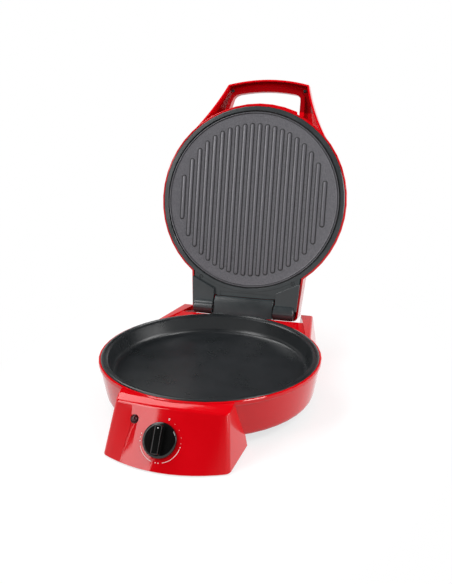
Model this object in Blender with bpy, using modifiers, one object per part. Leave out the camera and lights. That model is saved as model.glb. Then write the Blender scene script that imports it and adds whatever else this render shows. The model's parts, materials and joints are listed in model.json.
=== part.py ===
"""Electric pizza maker with a hinged lid, built in Blender 4.5.

Units are metres, +Z is up and the control panel faces -Y. The origin lies on
the table under the middle of the whole machine, with its lid open.

The base is drawn about the pan's axis, at heights above the table. The lid is
drawn closed, about the centre of the flat ring that meets the pan, and is then
turned open about its hinge.
"""
import math

import bmesh
import bpy
from mathutils import Matrix, Vector

# Finish of the model
TURN_STEPS = 48
MEDIUM_STEPS = 32
REFLECTOR_STEPS = 28
SMALL_STEPS = 16
HOLE_STEPS = 10
SCREW_STEPS = 10
WELD_DISTANCE = 0.00001
OVERRUN = 0.020
FIT = 0.0003
SMOOTH_ANGLE = math.radians(32)

# Layout of the machine
RIM_HEIGHT = 0.0740
PAN_RADIUS = 0.1600
SKIRT_LIFT = 0.0020
HINGE_BACK = 0.1922
HINGE_DROP = 0.0041
LID_GAP = 0.0015
LID_DROP = -(HINGE_DROP + LID_GAP)
OPEN_ANGLE = math.radians(103.3)
WALL = 0.0025

# Pan (lower cooking plate)
PAN_DEPTH = 0.0280
PAN_PLATE = 0.0030
PAN_RIM_WIDTH = 0.0100
PAN_MOUTH_RADIUS = PAN_RADIUS - PAN_RIM_WIDTH
PAN_WALL_RUN = 0.0050
PAN_FLOOR_RADIUS = PAN_MOUTH_RADIUS - PAN_WALL_RUN
PAN_FLOOR_FILLET = 0.0080
PAN_BEAD_WIDTH = 0.0027
PAN_BEAD_RADIUS = PAN_RADIUS - PAN_BEAD_WIDTH
PAN_BEAD_RISE = 0.0012
PAN_SILL = 0.0010
PAN_EDGE = 0.0008

# Base housing, a tapered bowl
RIM_SKIN = 0.0012
BOWL_TOP_RADIUS = PAN_RADIUS + RIM_SKIN
LIP_REACH = 0.0018
LIP_RADIUS = BOWL_TOP_RADIUS + LIP_REACH
LIP_DROP = 0.0008
LIP_HEIGHT = 0.0062
BOWL_TAPER = 0.0067
BOWL_LOW_RADIUS = BOWL_TOP_RADIUS - BOWL_TAPER
BOWL_LOW_DROP = 0.0490
BOWL_FOOT_RUN = 0.0040
BOWL_FOOT_RADIUS = BOWL_LOW_RADIUS - BOWL_FOOT_RUN
BOWL_FOOT_DROP = 0.0565
SEAT_DROP = 0.0034
SHELF_WIDTH = 0.0033
SHELF_INNER = PAN_RADIUS - SHELF_WIDTH
SHELF_THICKNESS = 0.0027
LEDGE_DROP = 0.0502
LEDGE_WIDTH = 0.0065
LEDGE_INNER = BOWL_FOOT_RADIUS - LEDGE_WIDTH
LEDGE_THICKNESS = 0.0030

# Control box at the front
BOX_SEAM_DROP = 0.0022
BOX_SEAM_REACH = PAN_RADIUS + RIM_SKIN / 2
BOX_SEAM_HALF = 0.0765
BOX_SEAM_BOW = 0.0080
FACE_TOP_DROP = 0.0066
FACE_TOP_REACH = 0.1722
FACE_TOP_HALF = 0.0757
FACE_TOP_BOW = 0.0040
FACE_FOOT_REACH = 0.2158
FACE_FOOT_HALF = 0.0840
FACE_FOOT_BOW = 0.0212
BOX_BACK_REACH = 0.1250
BOX_BACK_TOP_HALF = 0.0770
BOX_BACK_FOOT_HALF = 0.0886
BOX_ROUND = 0.0028
BOX_SIDE_ROUND = 0.0055
BOX_WALL = 0.0050
FACE_STEPS = 12
LEAD_HOLE_RADIUS = 0.0080
LEAD_HOLE_HEIGHT = 0.0400

# Hinge housing at the back
EAR_FRONT_Y = 0.0900
EAR_FRONT_HALF = 0.1345
EAR_FRONT_DROP = 0.0050
EAR_BACK_Y = 0.2187
EAR_BACK_HALF = 0.1180
EAR_BACK_DROP = 0.0096
EAR_FLARE = 0.0085
EAR_BACK_FLARE = 0.0070
EAR_ROUND = 0.0030
RECESS_BACK_HALF = 0.0978
RECESS_SPREAD = math.radians(13.2)
RECESS_LEAN = math.radians(6.3)
RECESS_DROP = 0.0080
DECK_DROP = 0.0092
TROUGH_RADIUS = 0.0165
TROUGH_SLOPE = math.radians(14)
TROUGH_STEPS = 7

# Bottom covers and feet
COVER_LIFT = 0.0043
COVER_THICKNESS = 0.0025
COVER_GAP = 0.0004
FOOT_RADIUS = 0.0090
FOOT_STEM_RADIUS = 0.0030
FOOT_HEAD_RADIUS = 0.0046
FOOT_HEAD_HEIGHT = 0.0018
FRONT_FOOT_X = 0.0620
FRONT_FOOT_Y = -0.1720
BACK_FOOT_X = 0.1020
BACK_FOOT_Y = 0.1980
VENT_COUNT = 12
VENT_LENGTH = 0.0300
VENT_WIDTH = 0.0060
VENT_RING = 0.0950
BELLY_COUNT = 3
BELLY_RING = LEDGE_INNER - LEDGE_THICKNESS
BELLY_START = math.radians(30)
BOSS_RADIUS = 0.0045
BOSS_LENGTH = 0.0090
FRONT_BOSS_X = 0.0660
FRONT_BOSS_Y = -0.1440
BACK_BOSS_X = 0.1080
BACK_BOSS_Y = 0.1700
COVER_BOSS_TOP = 0.0300

# Screws
SCREW_RADIUS = 0.0015
SCREW_HOLE_RADIUS = 0.0018
SCREW_HEAD_RADIUS = 0.0031
SCREW_HEAD_HEIGHT = 0.0016
SCREW_RIM = 0.0004
SCREW_LENGTH = 0.0060
CROSS_LENGTH = 0.0034
CROSS_WIDTH = 0.0009
CROSS_DEPTH = 0.0010

# Heating elements and reflectors
ELEMENT_RADIUS = 0.00325
ELEMENT_RING = 0.1050
ELEMENT_GAP_ANGLE = math.radians(16)
ELEMENT_STEPS = 28
ELEMENT_TAIL = 0.0230
ELEMENT_BEND_SHARES = (0.70, 0.35, 0.12)
ELEMENT_TOP = 0.0005
POST_RADIUS = 0.0042
POST_RING = 0.0720
POST_COUNT = 3
POST_LENGTH = 0.0130
SHEET = 0.0008
REFLECTOR_RADIUS = 0.1300
REFLECTOR_RIM_WIDTH = 0.0050
REFLECTOR_RIM_GAP = 0.0012
RIDGE_HALF = 0.0045
RIDGE_RUN = 0.0050
CUTOUT_RADIUS = 0.0080
CUTOUT_HEIGHT = 0.0055
CUTOUT_OFFSET = 0.0420

# Knob, thermostat and lamp
KNOB_X = -0.0048
KNOB_HEIGHT = 0.0340
KNOB_FLOAT = 0.0012
KNOB_RADIUS = 0.0222
KNOB_SKIRT = 0.0036
KNOB_TOP_RADIUS = 0.0205
KNOB_DISC = 0.0058
KNOB_HOLLOW_RADIUS = 0.0198
KNOB_HOLLOW = 0.0026
KNOB_HUB_RADIUS = 0.0060
KNOB_HUB_LIFT = 0.0006
KNOB_BAR_WIDTH = 0.0110
KNOB_BAR_TOP = 0.0160
KNOB_BAR_SINK = 0.0010
KNOB_BAR_TAPER_SHARE = 0.84
KNOB_EDGE = 0.0014
SHAFT_RADIUS = 0.0030
SHAFT_FLAT = 0.0021
SHAFT_TOP = 0.0105
SHAFT_DEPTH = 0.0150
STAT_BOSS_RADIUS = 0.0150
STAT_BOSS_DEPTH = 0.0080
STAT_RADIUS = 0.0130
STAT_LENGTH = 0.0140
STAT_BUSH_RADIUS = 0.0050
STAT_BUSH_BORE = 0.0034
LAMP_X = -0.0441
LAMP_HEIGHT = 0.0506
LAMP_RADIUS = 0.0040
LAMP_FLANGE_RADIUS = 0.0056
LAMP_FLANGE = 0.0019
LAMP_SINK = 0.0016
LAMP_DOME = 0.0030
LAMP_NECK = 0.0050
LAMP_BODY_RADIUS = 0.0046
LAMP_BODY_LENGTH = 0.0110
LAMP_BOSS_RADIUS = 0.0085
LAMP_BOSS_DEPTH = 0.0080

# Terminal block and supply inlet
BLOCK_SIZE = (0.0300, 0.0160, 0.0120)
BLOCK_Y = 0.1850
BLOCK_PITCH = 0.0090
BLOCK_HOLE_RADIUS = 0.0026
GLAND_X = 0.0450
GLAND_HEIGHT = 0.0200
GLAND_RADIUS = 0.0060
GLAND_FLANGE_RADIUS = 0.0090
GLAND_FLANGE = 0.0025
GLAND_BORE = 0.0034
GLAND_LENGTH = 0.0140

# Hinge
PIN_RADIUS = 0.0025
PIN_HOLE_RADIUS = 0.0028
KNUCKLE_RADIUS = 0.0125
KNUCKLE_SHIFT = 0.0026
KNUCKLE_OUTER = 0.0893
KNUCKLE_INNER = 0.0545
KNUCKLE_ROUND = 0.0040
KNUCKLE_ROOM = 0.0006
PIN_HALF = KNUCKLE_OUTER - PIN_RADIUS / 2
HINGE_COVER_DROP = 0.0072
HINGE_COVER_EDGE = 0.0014
HINGE_COVER_FRONT = (0.0958, 0.1370)
HINGE_COVER_BACK = (0.0930, 0.1860)
HINGE_COVER_INNER = (0.0550, 0.1565)
BRACKET_HALF = 0.0525
BRACKET_TOE = (0.1812, -0.0120)
BRACKET_TOE_TOP = -0.0095
BRACKET_FRONT_Y = 0.1832
BRACKET_CREASE = (0.1890, 0.0080)
BRACKET_CREST = (0.1962, 0.0180)
BRACKET_CREST_BACK = (0.2000, 0.0186)
BRACKET_BACK = (0.2060, 0.0060)
BRACKET_HEEL_Y = 0.2072
BRACKET_ROUND = 0.0014
BRACKET_SCREW_X = 0.0400
BRACKET_SCREW_Y = 0.2010
BRACKET_SCREW_GRIP = 0.0040

# Lid ring and tongue
RING_OUTER = PAN_RADIUS - FIT
RING_WIDTH = 0.0072
RING_INNER = RING_OUTER - RING_WIDTH
RING_THICKNESS = 0.0025
RING_EDGE = 0.0005
RING_BACK_WIDTH = 0.0023
RING_BACK_OUTER = RING_INNER + RING_BACK_WIDTH
RING_LEDGE_WIDTH = 0.0075
RING_LEDGE_INNER = RING_INNER - RING_LEDGE_WIDTH
RING_LEDGE_START = 0.0056
RING_LEDGE_THICKNESS = 0.0025
TONGUE_ROOT_HALF = 0.0955
TONGUE_ROOT_Y = 0.1100
TONGUE_END_HALF = 0.0923
TONGUE_END_Y = 0.1674
POCKET_HALF = 0.0458
POCKET_DEPTH = 0.0014
POCKET_START_Y = 0.1605
SHROUD_RADIUS = HINGE_BACK - TONGUE_END_Y
SHROUD_WALL = 0.0015
SHROUD_HALF = 0.0510
SHROUD_START = math.radians(166)
SHROUD_END = math.radians(144)
SHROUD_STEPS = 3
FRAME_SCREW_X = 0.0823
FRAME_SCREW_Y = 0.1378
FRAME_PAD_RADIUS = 0.0052
FRAME_PAD_TOP = 0.0048
FRAME_HEAD_SINK = 0.0019

# Ribbed upper plate
PLATE_RADIUS = RING_INNER - FIT * 2
PLATE_BACK = 0.0052
PLATE_SINK = 0.0018
PLATE_BEAD_TOP = 0.0002
PLATE_BEAD_WIDTH = 0.0015
PLATE_GROOVE_WIDTH = 0.0030
PLATE_GROOVE_SINK = 0.0028
PLATE_SHORE_SINK = 0.0010
PLATE_SHORE_WIDTH = 0.0020
RIB_COUNT = 20
RIB_PITCH = 0.0131
RIB_WIDTH = 0.0054
RIB_TOP = 0.0001
RIB_MARGIN = 0.0245
RIB_CIRCLE = PLATE_RADIUS - RIB_MARGIN
RIB_EDGE = 0.0009
RIB_STEPS = 4
PLATE_SCREW_RING = RING_INNER - RING_LEDGE_WIDTH / 2
PLATE_SCREW_COUNT = 3
PLATE_SCREW_START = math.radians(90)
PLATE_SCREW_BITE = 0.0016

# Lid shell
SHELL_START = 0.0015
SHELL_LIP_HEIGHT = 0.0065
SHELL_MOUTH_GAP = 0.0005
SHELL_MOUTH_RADIUS = RING_OUTER + SHELL_MOUTH_GAP
SHELL_MOUTH_SKIN = 0.0010
SHELL_SIDE_RADIUS = SHELL_MOUTH_RADIUS + SHELL_MOUTH_SKIN
SHELL_TAPER = 0.0047
SHELL_SHOULDER_RADIUS = SHELL_SIDE_RADIUS - SHELL_TAPER
SHELL_SHOULDER_HEIGHT = 0.0300
SHELL_HEIGHT = 0.0660
DOME_POWER = 2.7
DOME_STEPS = 9
SHELL_SHELF_INNER = RING_BACK_OUTER + COVER_GAP
SHELL_SHELF_THICKNESS = 0.0025
TAIL_ROOT_Y = 0.1000
TAIL_ROOT_HALF = 0.1020
TAIL_END_Y = 0.2035
TAIL_END_HALF = 0.0942
TAIL_DRAFT = 0.0020
TAIL_ROOT_HEIGHT = 0.0560
TAIL_END_HEIGHT = 0.0490
TAIL_ROUND = 0.0090
TAIL_BOSS_RADIUS = 0.0037
NOTCH_HALF = 0.0545
NOTCH_HEIGHT = 0.0280
GUARD_REACH = 0.0064
GUARD_RADIUS = SHELL_SIDE_RADIUS + GUARD_REACH
GUARD_ROOT = SHELL_SIDE_RADIUS - WALL - FIT * 2
GUARD_START = 0.0172
GUARD_THICKNESS = 0.0042
GUARD_HALF = 0.0655

# Handle
GRIP_ANCHOR = (0.0960, 0.0960)
GRIP_ROOT = (0.1174, 0.1133)
GRIP_WAIST = (0.0876, 0.1620)
GRIP_CORNER = (0.0738, 0.2106)
GRIP_CROWN = 0.2215
GRIP_CORNER_RISE = 0.0710
GRIP_UNDER_LEAN = math.radians(34.06)
GRIP_TOP_START = (0.0960, 0.0080)
GRIP_TOP_PULL = (0.13375, 0.0570)
GRIP_TOP_FLAT = (0.1850, 0.0775)
GRIP_TOP_LEAN = math.radians(21.8)
GRIP_TOP_STEPS = 6
GRIP_WALL = 0.0033
GRIP_INNER_WALL = 0.0076
GRIP_INNER_ROOF = 0.0010
GRIP_ROOF = 0.0060
GRIP_INNER_LIFT = 0.0110
HOLE_ROOT = (0.0655, 0.1500)
HOLE_CORNER = (0.0622, 0.1912)
HOLE_CROWN = 0.1988
HOLE_ROUND_SHARE = 0.82
SIDE_STEPS = 8
CROWN_STEPS = 12
CAP_HALF = 0.0712
CAP_DEPTH = 0.0030
CAP_MARGIN = 0.0034
CAP_STEPS = 8
GRIP_SCREW_X = 0.0665
GRIP_SCREW_V = 0.1985
GRIP_SCREW_BITE = 0.0020

PARTS = None
CUTTERS = None


def clear_scene():
    """Remove what the start-up file holds."""
    for old in list(bpy.data.objects):
        bpy.data.objects.remove(old, do_unlink=True)


def new_collection(name):
    group = bpy.data.collections.new(name)
    bpy.context.scene.collection.children.link(group)
    return group


def make_material(name, colour, roughness, metallic=0.0):
    material = bpy.data.materials.new(name)
    material.use_nodes = True
    shader = material.node_tree.nodes["Principled BSDF"]
    shader.inputs["Base Color"].default_value = (*colour, 1.0)
    shader.inputs["Roughness"].default_value = roughness
    shader.inputs["Metallic"].default_value = metallic
    return material


def add_empty(name, location, rotation=(0, 0, 0), parent=None):
    empty = bpy.data.objects.new(name, None)
    empty.location = location
    empty.rotation_euler = rotation
    empty.parent = parent
    PARTS.objects.link(empty)
    return empty


def add_object(name, data, place=(0, 0, 0), turn=(0, 0, 0)):
    """Link new data to the parts; adopt() or a Boolean settles it later."""
    new = bpy.data.objects.new(name, data)
    new.location = place
    new.rotation_euler = turn
    PARTS.objects.link(new)
    return new


def mesh_from(build, name):
    """Make a mesh with a function that fills a bmesh."""
    work = bmesh.new()
    build(work)
    mesh = bpy.data.meshes.new(name)
    work.to_mesh(mesh)
    work.free()
    return mesh


def weld(part):
    modifier = part.modifiers.new("weld", "WELD")
    modifier.merge_threshold = WELD_DISTANCE
    return part


def turned(name, profile, steps=TURN_STEPS, place=(0, 0, 0), turn=(0, 0, 0)):
    """Turn a profile of (radius, height) about Z, outer side downwards.

    A profile that starts and ends on the axis makes a solid, and any other
    profile is closed on itself and makes a ring.
    """
    mesh = bpy.data.meshes.new(name)
    edges = [(i, i + 1) for i in range(len(profile) - 1)]
    if profile[0][0] > 0:
        edges.append((len(profile) - 1, 0))
    mesh.from_pydata([(r, 0, z) for r, z in profile], edges, [])
    part = add_object(name, mesh, place, turn)
    screw = part.modifiers.new("turn", "SCREW")
    screw.steps = steps
    screw.render_steps = steps
    screw.use_merge_vertices = True
    screw.merge_threshold = WELD_DISTANCE
    screw.use_smooth_shade = False
    return weld(part)


def block(name, size, place, turn=(0, 0, 0)):
    """A box of the given size, centred on its place."""
    def build(work):
        bmesh.ops.create_cube(work, size=1.0)
        bmesh.ops.scale(work, vec=size, verts=work.verts)
    return add_object(name, mesh_from(build, name), place, turn)


def drum(name, radius, bottom, top, place=(0, 0, 0), turn=(0, 0, 0), steps=SMALL_STEPS):
    """A cylinder along Z between two heights."""
    def build(work):
        bmesh.ops.create_cone(work, cap_ends=True, segments=steps, radius1=radius,
                              radius2=radius, depth=top - bottom)
        bmesh.ops.translate(work, vec=(0, 0, (top + bottom) / 2), verts=work.verts)
    return add_object(name, mesh_from(build, name), place, turn)


def loft(name, rings, place=(0, 0, 0), turn=(0, 0, 0)):
    """Join rings of equally many points, and close both ends."""
    def build(work):
        made = [[work.verts.new(point) for point in ring] for ring in rings]
        count = len(made[0])
        for low, high in zip(made, made[1:]):
            for i in range(count):
                j = (i + 1) % count
                work.faces.new((low[i], low[j], high[j], high[i]))
        work.faces.new(list(reversed(made[0])))
        work.faces.new(made[-1])
        bmesh.ops.recalc_face_normals(work, faces=work.faces)
    return add_object(name, mesh_from(build, name), place, turn)


def prism(name, outline, bottom, top, place=(0, 0, 0), turn=(0, 0, 0)):
    """A flat outline in X and Y, raised from one height to another."""
    return loft(name, [[(x, y, bottom) for x, y in outline],
                       [(x, y, top) for x, y in outline]], place, turn)


def side_prism(name, outline, half):
    """An outline in Y and Z, as wide as twice the half width in X."""
    return loft(name, [[(-half, y, z) for y, z in outline],
                       [(half, y, z) for y, z in outline]])


def tube(name, points, radius, resolution=2):
    """A round bar through points, as a mesh with welded caps."""
    curve = bpy.data.curves.new(name, "CURVE")
    curve.dimensions = "3D"
    curve.bevel_depth = radius
    curve.bevel_resolution = resolution
    curve.use_fill_caps = True
    line = curve.splines.new("POLY")
    line.points.add(len(points) - 1)
    for slot, point in zip(line.points, points):
        slot.co = (*point, 1)
    guide = bpy.data.objects.new(name + "_guide", curve)
    bpy.context.scene.collection.objects.link(guide)
    bpy.context.view_layer.update()
    ready = guide.evaluated_get(bpy.context.evaluated_depsgraph_get())
    mesh = bpy.data.meshes.new_from_object(ready)
    mesh.name = name
    work = bmesh.new()
    work.from_mesh(mesh)
    bmesh.ops.remove_doubles(work, verts=work.verts, dist=WELD_DISTANCE)
    bmesh.ops.recalc_face_normals(work, faces=work.faces)
    work.to_mesh(mesh)
    work.free()
    bpy.data.objects.remove(guide, do_unlink=True)
    return add_object(name, mesh)


def combine(part, tool, operation):
    """Boolean a tool into a part and put the tool with the cutters."""
    modifier = part.modifiers.new(tool.name, "BOOLEAN")
    modifier.operation = operation
    modifier.object = tool
    modifier.solver = "EXACT"
    PARTS.objects.unlink(tool)
    CUTTERS.objects.link(tool)
    tool.hide_render = True
    tool.display_type = "WIRE"
    return part


def cut(part, *tools):
    for tool in tools:
        combine(part, tool, "DIFFERENCE")
    return part


def add(part, *tools):
    for tool in tools:
        combine(part, tool, "UNION")
    return part


def keep(part, *tools):
    for tool in tools:
        combine(part, tool, "INTERSECT")
    return part


def chamfer(part, width, segments=2, angle=math.radians(35)):
    """Round the edges that turn by more than an angle."""
    bevel = part.modifiers.new("edges", "BEVEL")
    bevel.width = width
    bevel.segments = segments
    bevel.limit_method = "ANGLE"
    bevel.angle_limit = angle
    return part


def chamfer_some(part, width, chosen, segments=3):
    """Round only the edges whose two end points are both chosen."""
    return chamfer_by(part, width, lambda a, b: float(chosen(a) and chosen(b)), segments)


def chamfer_by(part, width, share, segments=3):
    """Round each edge by a share of the width, told by its two end points."""
    mesh = part.data
    weights = mesh.attributes.new("bevel_weight_edge", "FLOAT", "EDGE")
    for edge in mesh.edges:
        first, second = (mesh.vertices[i].co for i in edge.vertices)
        weights.data[edge.index].value = share(first, second)
    bevel = part.modifiers.new("edges", "BEVEL")
    bevel.width = width
    bevel.segments = segments
    bevel.limit_method = "WEIGHT"
    return part


def adopt(parent, material, *parts):
    """Hang parts and their tools on a body and give the parts a finish."""
    for part in parts:
        hang(parent, part)
        if part.type == "MESH":
            part.data.materials.clear()
            part.data.materials.append(material)
            part.data.shade_smooth()
            shade(part)


def hang(parent, part):
    if part.parent is None:
        part.parent = parent
    for modifier in part.modifiers:
        if modifier.type == "BOOLEAN":
            hang(parent, modifier.object)


def shade(part):
    """Keep the edges that turn by more than the smoothing angle crisp."""
    part.data.set_sharp_from_angle(angle=SMOOTH_ANGLE)


def arc(centre, radius, start, end, steps):
    """Points on a circle, from one angle to another in degrees."""
    points = []
    for i in range(steps + 1):
        angle = math.radians(start + (end - start) * i / steps)
        points.append((centre[0] + radius * math.cos(angle),
                       centre[1] + radius * math.sin(angle)))
    return points


def blend_curve(start, control, end, steps):
    """Points on a curve that is pulled towards a control point."""
    points = []
    for i in range(steps + 1):
        t = i / steps
        points.append(tuple((1 - t) ** 2 * a + 2 * t * (1 - t) * b + t * t * c
                            for a, b, c in zip(start, control, end)))
    return points


def offset_line(points, distance):
    """Move an open line to its left by a distance, with mitred corners."""
    moved = []
    for i, point in enumerate(points):
        here = Vector(point)
        normals = []
        for a, b in ((i - 1, i), (i, i + 1)):
            if 0 <= a and b < len(points):
                run = (Vector(points[b]) - Vector(points[a])).normalized()
                normals.append(Vector((-run.y, run.x)))
        mean = sum(normals, Vector((0, 0))).normalized()
        moved.append(tuple(here + mean * distance / mean.dot(normals[0])))
    return moved


def polar(radius, angle):
    return (radius * math.cos(angle), radius * math.sin(angle))



def lathe(name, profile, steps=TURN_STEPS, place=(0, 0, 0), turn=(0, 0, 0)):
    """Turn a profile whichever way round it is written."""
    area = 0
    for (r0, z0), (r1, z1) in zip(profile, profile[1:] + profile[:1]):
        area += r0 * z1 - r1 * z0
    if area > 0:
        profile = list(reversed(profile))
    return turned(name, profile, steps, place, turn)


def slanted_prism(name, outline, low, high):
    """An outline in X and Y between two heights that depend on Y."""
    return loft(name, [[(x, y, low(y)) for x, y in outline],
                       [(x, y, high(y)) for x, y in outline]])


def make_screw(name, length, place=(0, 0, 0), turn=(0, 0, 0), cross=False):
    """Screw with its head's seat at zero and its shank along +Z."""
    screw = lathe(name, [
        (0, -SCREW_HEAD_HEIGHT),
        (SCREW_HEAD_RADIUS - SCREW_RIM, -SCREW_HEAD_HEIGHT),
        (SCREW_HEAD_RADIUS, 0),
        (SCREW_RADIUS, 0),
        (SCREW_RADIUS - SCREW_RIM / 2, length),
        (0, length),
    ], SCREW_STEPS, place, turn)
    if not cross:
        return screw
    for number, size in enumerate(((CROSS_LENGTH, CROSS_WIDTH), (CROSS_WIDTH, CROSS_LENGTH))):
        slot = block(f"{name}_slot_{number}", (*size, CROSS_DEPTH * 2), (0, 0, 0))
        slot.location = Matrix.LocRotScale(Vector(place), None, None) @ turned_vector(
            (0, 0, -SCREW_HEAD_HEIGHT), turn)
        slot.rotation_euler = turn
        cut(screw, slot)
    return screw


def turned_vector(vector, turn):
    from_turn = Matrix.Rotation(turn[2], 3, "Z") @ Matrix.Rotation(turn[1], 3, "Y")
    return from_turn @ Matrix.Rotation(turn[0], 3, "X") @ Vector(vector)


def ring_places(count, radius, start=0.0):
    """Evenly spread places on a circle."""
    return [polar(radius, start + 2 * math.pi * i / count) for i in range(count)]


# Base housing

def make_bowl():
    low = RIM_HEIGHT - BOWL_LOW_DROP
    foot = RIM_HEIGHT - BOWL_FOOT_DROP
    top = RIM_HEIGHT - LIP_DROP
    profile = [
        (0, top),
        (LIP_RADIUS - FIT * 3, top),
        (LIP_RADIUS, top - FIT * 3),
        (LIP_RADIUS, top - LIP_HEIGHT + FIT * 3),
        (LIP_RADIUS - FIT * 3, top - LIP_HEIGHT),
        (BOWL_TOP_RADIUS, top - LIP_HEIGHT - FIT * 3),
    ]
    profile += blend_curve((BOWL_LOW_RADIUS, low), (BOWL_LOW_RADIUS - FIT * 4, foot),
                           (BOWL_FOOT_RADIUS, foot), 3)
    profile.append((0, foot))
    return profile


def make_bowl_room():
    """Hollow of the bowl: the pan's seat, the wall and the cover's ledge."""
    ledge = RIM_HEIGHT - LEDGE_DROP
    under = ledge - LEDGE_THICKNESS
    foot = RIM_HEIGHT - BOWL_FOOT_DROP
    seat = RIM_HEIGHT - SEAT_DROP
    return lathe("bowl_room", [
        (0, RIM_HEIGHT + OVERRUN),
        (PAN_RADIUS + FIT, RIM_HEIGHT + OVERRUN),
        (PAN_RADIUS + FIT, seat),
        (SHELF_INNER, seat),
        (SHELF_INNER, seat - SHELF_THICKNESS),
        (BOWL_TOP_RADIUS - WALL, seat - SHELF_THICKNESS - WALL / 2),
        (BOWL_LOW_RADIUS - WALL, ledge + WALL),
        (BOWL_LOW_RADIUS - WALL * 2, ledge),
        (LEDGE_INNER, ledge),
        (LEDGE_INNER, under),
        (BOWL_FOOT_RADIUS - WALL, under),
        (BOWL_FOOT_RADIUS - WALL, foot - FIT),
        (0, foot - FIT),
    ])


def face_line(reach, half, bow, height):
    """A bowed line across the front, from left to right."""
    points = []
    for i in range(FACE_STEPS + 1):
        share = 2 * i / FACE_STEPS - 1
        points.append((half * share, -reach + bow * share * share, height))
    return points


def box_section(reach, half, bow, back_half, height, back=BOX_BACK_REACH):
    return face_line(reach, half, bow, height) + [
        (back_half, -back, height),
        (-back_half, -back, height),
    ]


def make_control_box():
    """Control box: bevelled top edge, tilted face, sides with draft."""
    seam = box_section(BOX_SEAM_REACH, BOX_SEAM_HALF, BOX_SEAM_BOW,
                       BOX_BACK_TOP_HALF, RIM_HEIGHT - BOX_SEAM_DROP)
    brow = box_section(FACE_TOP_REACH, FACE_TOP_HALF, FACE_TOP_BOW,
                       BOX_BACK_TOP_HALF, RIM_HEIGHT - FACE_TOP_DROP)
    foot = box_section(FACE_FOOT_REACH, FACE_FOOT_HALF, FACE_FOOT_BOW,
                       BOX_BACK_FOOT_HALF, SKIRT_LIFT)
    box = loft("control_box_form", [foot, brow, seam])
    sides = [Vector(ring[i]) for ring in (foot, brow, seam) for i in (0, FACE_STEPS)]
    crest = [Vector(point) for ring in (brow, seam) for point in ring[:FACE_STEPS + 1]]

    def share(first, second):
        if is_near(first, sides) and is_near(second, sides) and first.x * second.x > 0:
            return 1.0
        if is_near(first, crest) and is_near(second, crest) and first.z == second.z:
            return BOX_ROUND / BOX_SIDE_ROUND
        return 0.0
    return chamfer_by(box, BOX_SIDE_ROUND, share)


def is_near(point, others):
    return any((point - other).length < WELD_DISTANCE for other in others)


def box_room_rings(wall):
    """Foot and top outlines of the control box's hollow."""
    slope = (FACE_FOOT_REACH - FACE_TOP_REACH) / (RIM_HEIGHT - FACE_TOP_DROP - SKIRT_LIFT)
    sink = slope * OVERRUN
    roof = RIM_HEIGHT - FACE_TOP_DROP - WALL
    back = BOX_BACK_REACH + wall - BOX_WALL + WALL
    low = box_section(FACE_FOOT_REACH + sink - wall, FACE_FOOT_HALF - wall, FACE_FOOT_BOW,
                      BOX_BACK_FOOT_HALF - wall, SKIRT_LIFT - OVERRUN, back)
    high = box_section(FACE_TOP_REACH - wall + slope * WALL, FACE_TOP_HALF - wall, FACE_TOP_BOW,
                       BOX_BACK_TOP_HALF - wall, roof, back)
    return [low, high]


def make_box_room(bowl_profile):
    """Hollow of the control box, open below and clear of the bowl."""
    room = loft("control_box_room", box_room_rings(BOX_WALL))
    return cut(room, turned("bowl_for_box_room", bowl_profile))


def outline_between(rings, height):
    """Outline at a height between two rings, as X and Y."""
    outline = []
    for low, high in zip(*rings):
        share = (height - low[2]) / (high[2] - low[2])
        outline.append((low[0] + (high[0] - low[0]) * share,
                        low[1] + (high[1] - low[1]) * share))
    return outline


def face_point(x, height):
    """Point and outward normal of the tilted face, at a place across it."""
    top = RIM_HEIGHT - FACE_TOP_DROP
    share = (height - SKIRT_LIFT) / (top - SKIRT_LIFT)
    half = FACE_FOOT_HALF + (FACE_TOP_HALF - FACE_FOOT_HALF) * share
    reach = FACE_FOOT_REACH + (FACE_TOP_REACH - FACE_FOOT_REACH) * share
    bow = FACE_FOOT_BOW + (FACE_TOP_BOW - FACE_FOOT_BOW) * share
    across = x / half
    y = -reach + bow * across * across
    rise_y = (FACE_FOOT_REACH - FACE_TOP_REACH
              + (FACE_TOP_BOW - FACE_FOOT_BOW) * across * across)
    run = Vector((1, 2 * bow * across / half, 0))
    rise = Vector((0, rise_y, top - SKIRT_LIFT))
    return Vector((x, y, height)), run.cross(rise).normalized()


def face_turn():
    """Turn that lays +Z along the outward normal of the face's middle."""
    normal = face_point(0, KNOB_HEIGHT)[1]
    return (math.acos(normal.z), 0, 0)


def along_face(x, height, distance):
    """Place at a distance outwards from the face, along its middle normal."""
    return face_point(x, height)[0] + face_point(0, KNOB_HEIGHT)[1] * distance


def recess_half(y, drop):
    """Half width of the recess between the ears."""
    return (RECESS_BACK_HALF + (EAR_BACK_Y - y) * math.tan(RECESS_SPREAD)
            - (drop - RECESS_DROP) * math.tan(RECESS_LEAN))


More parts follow.
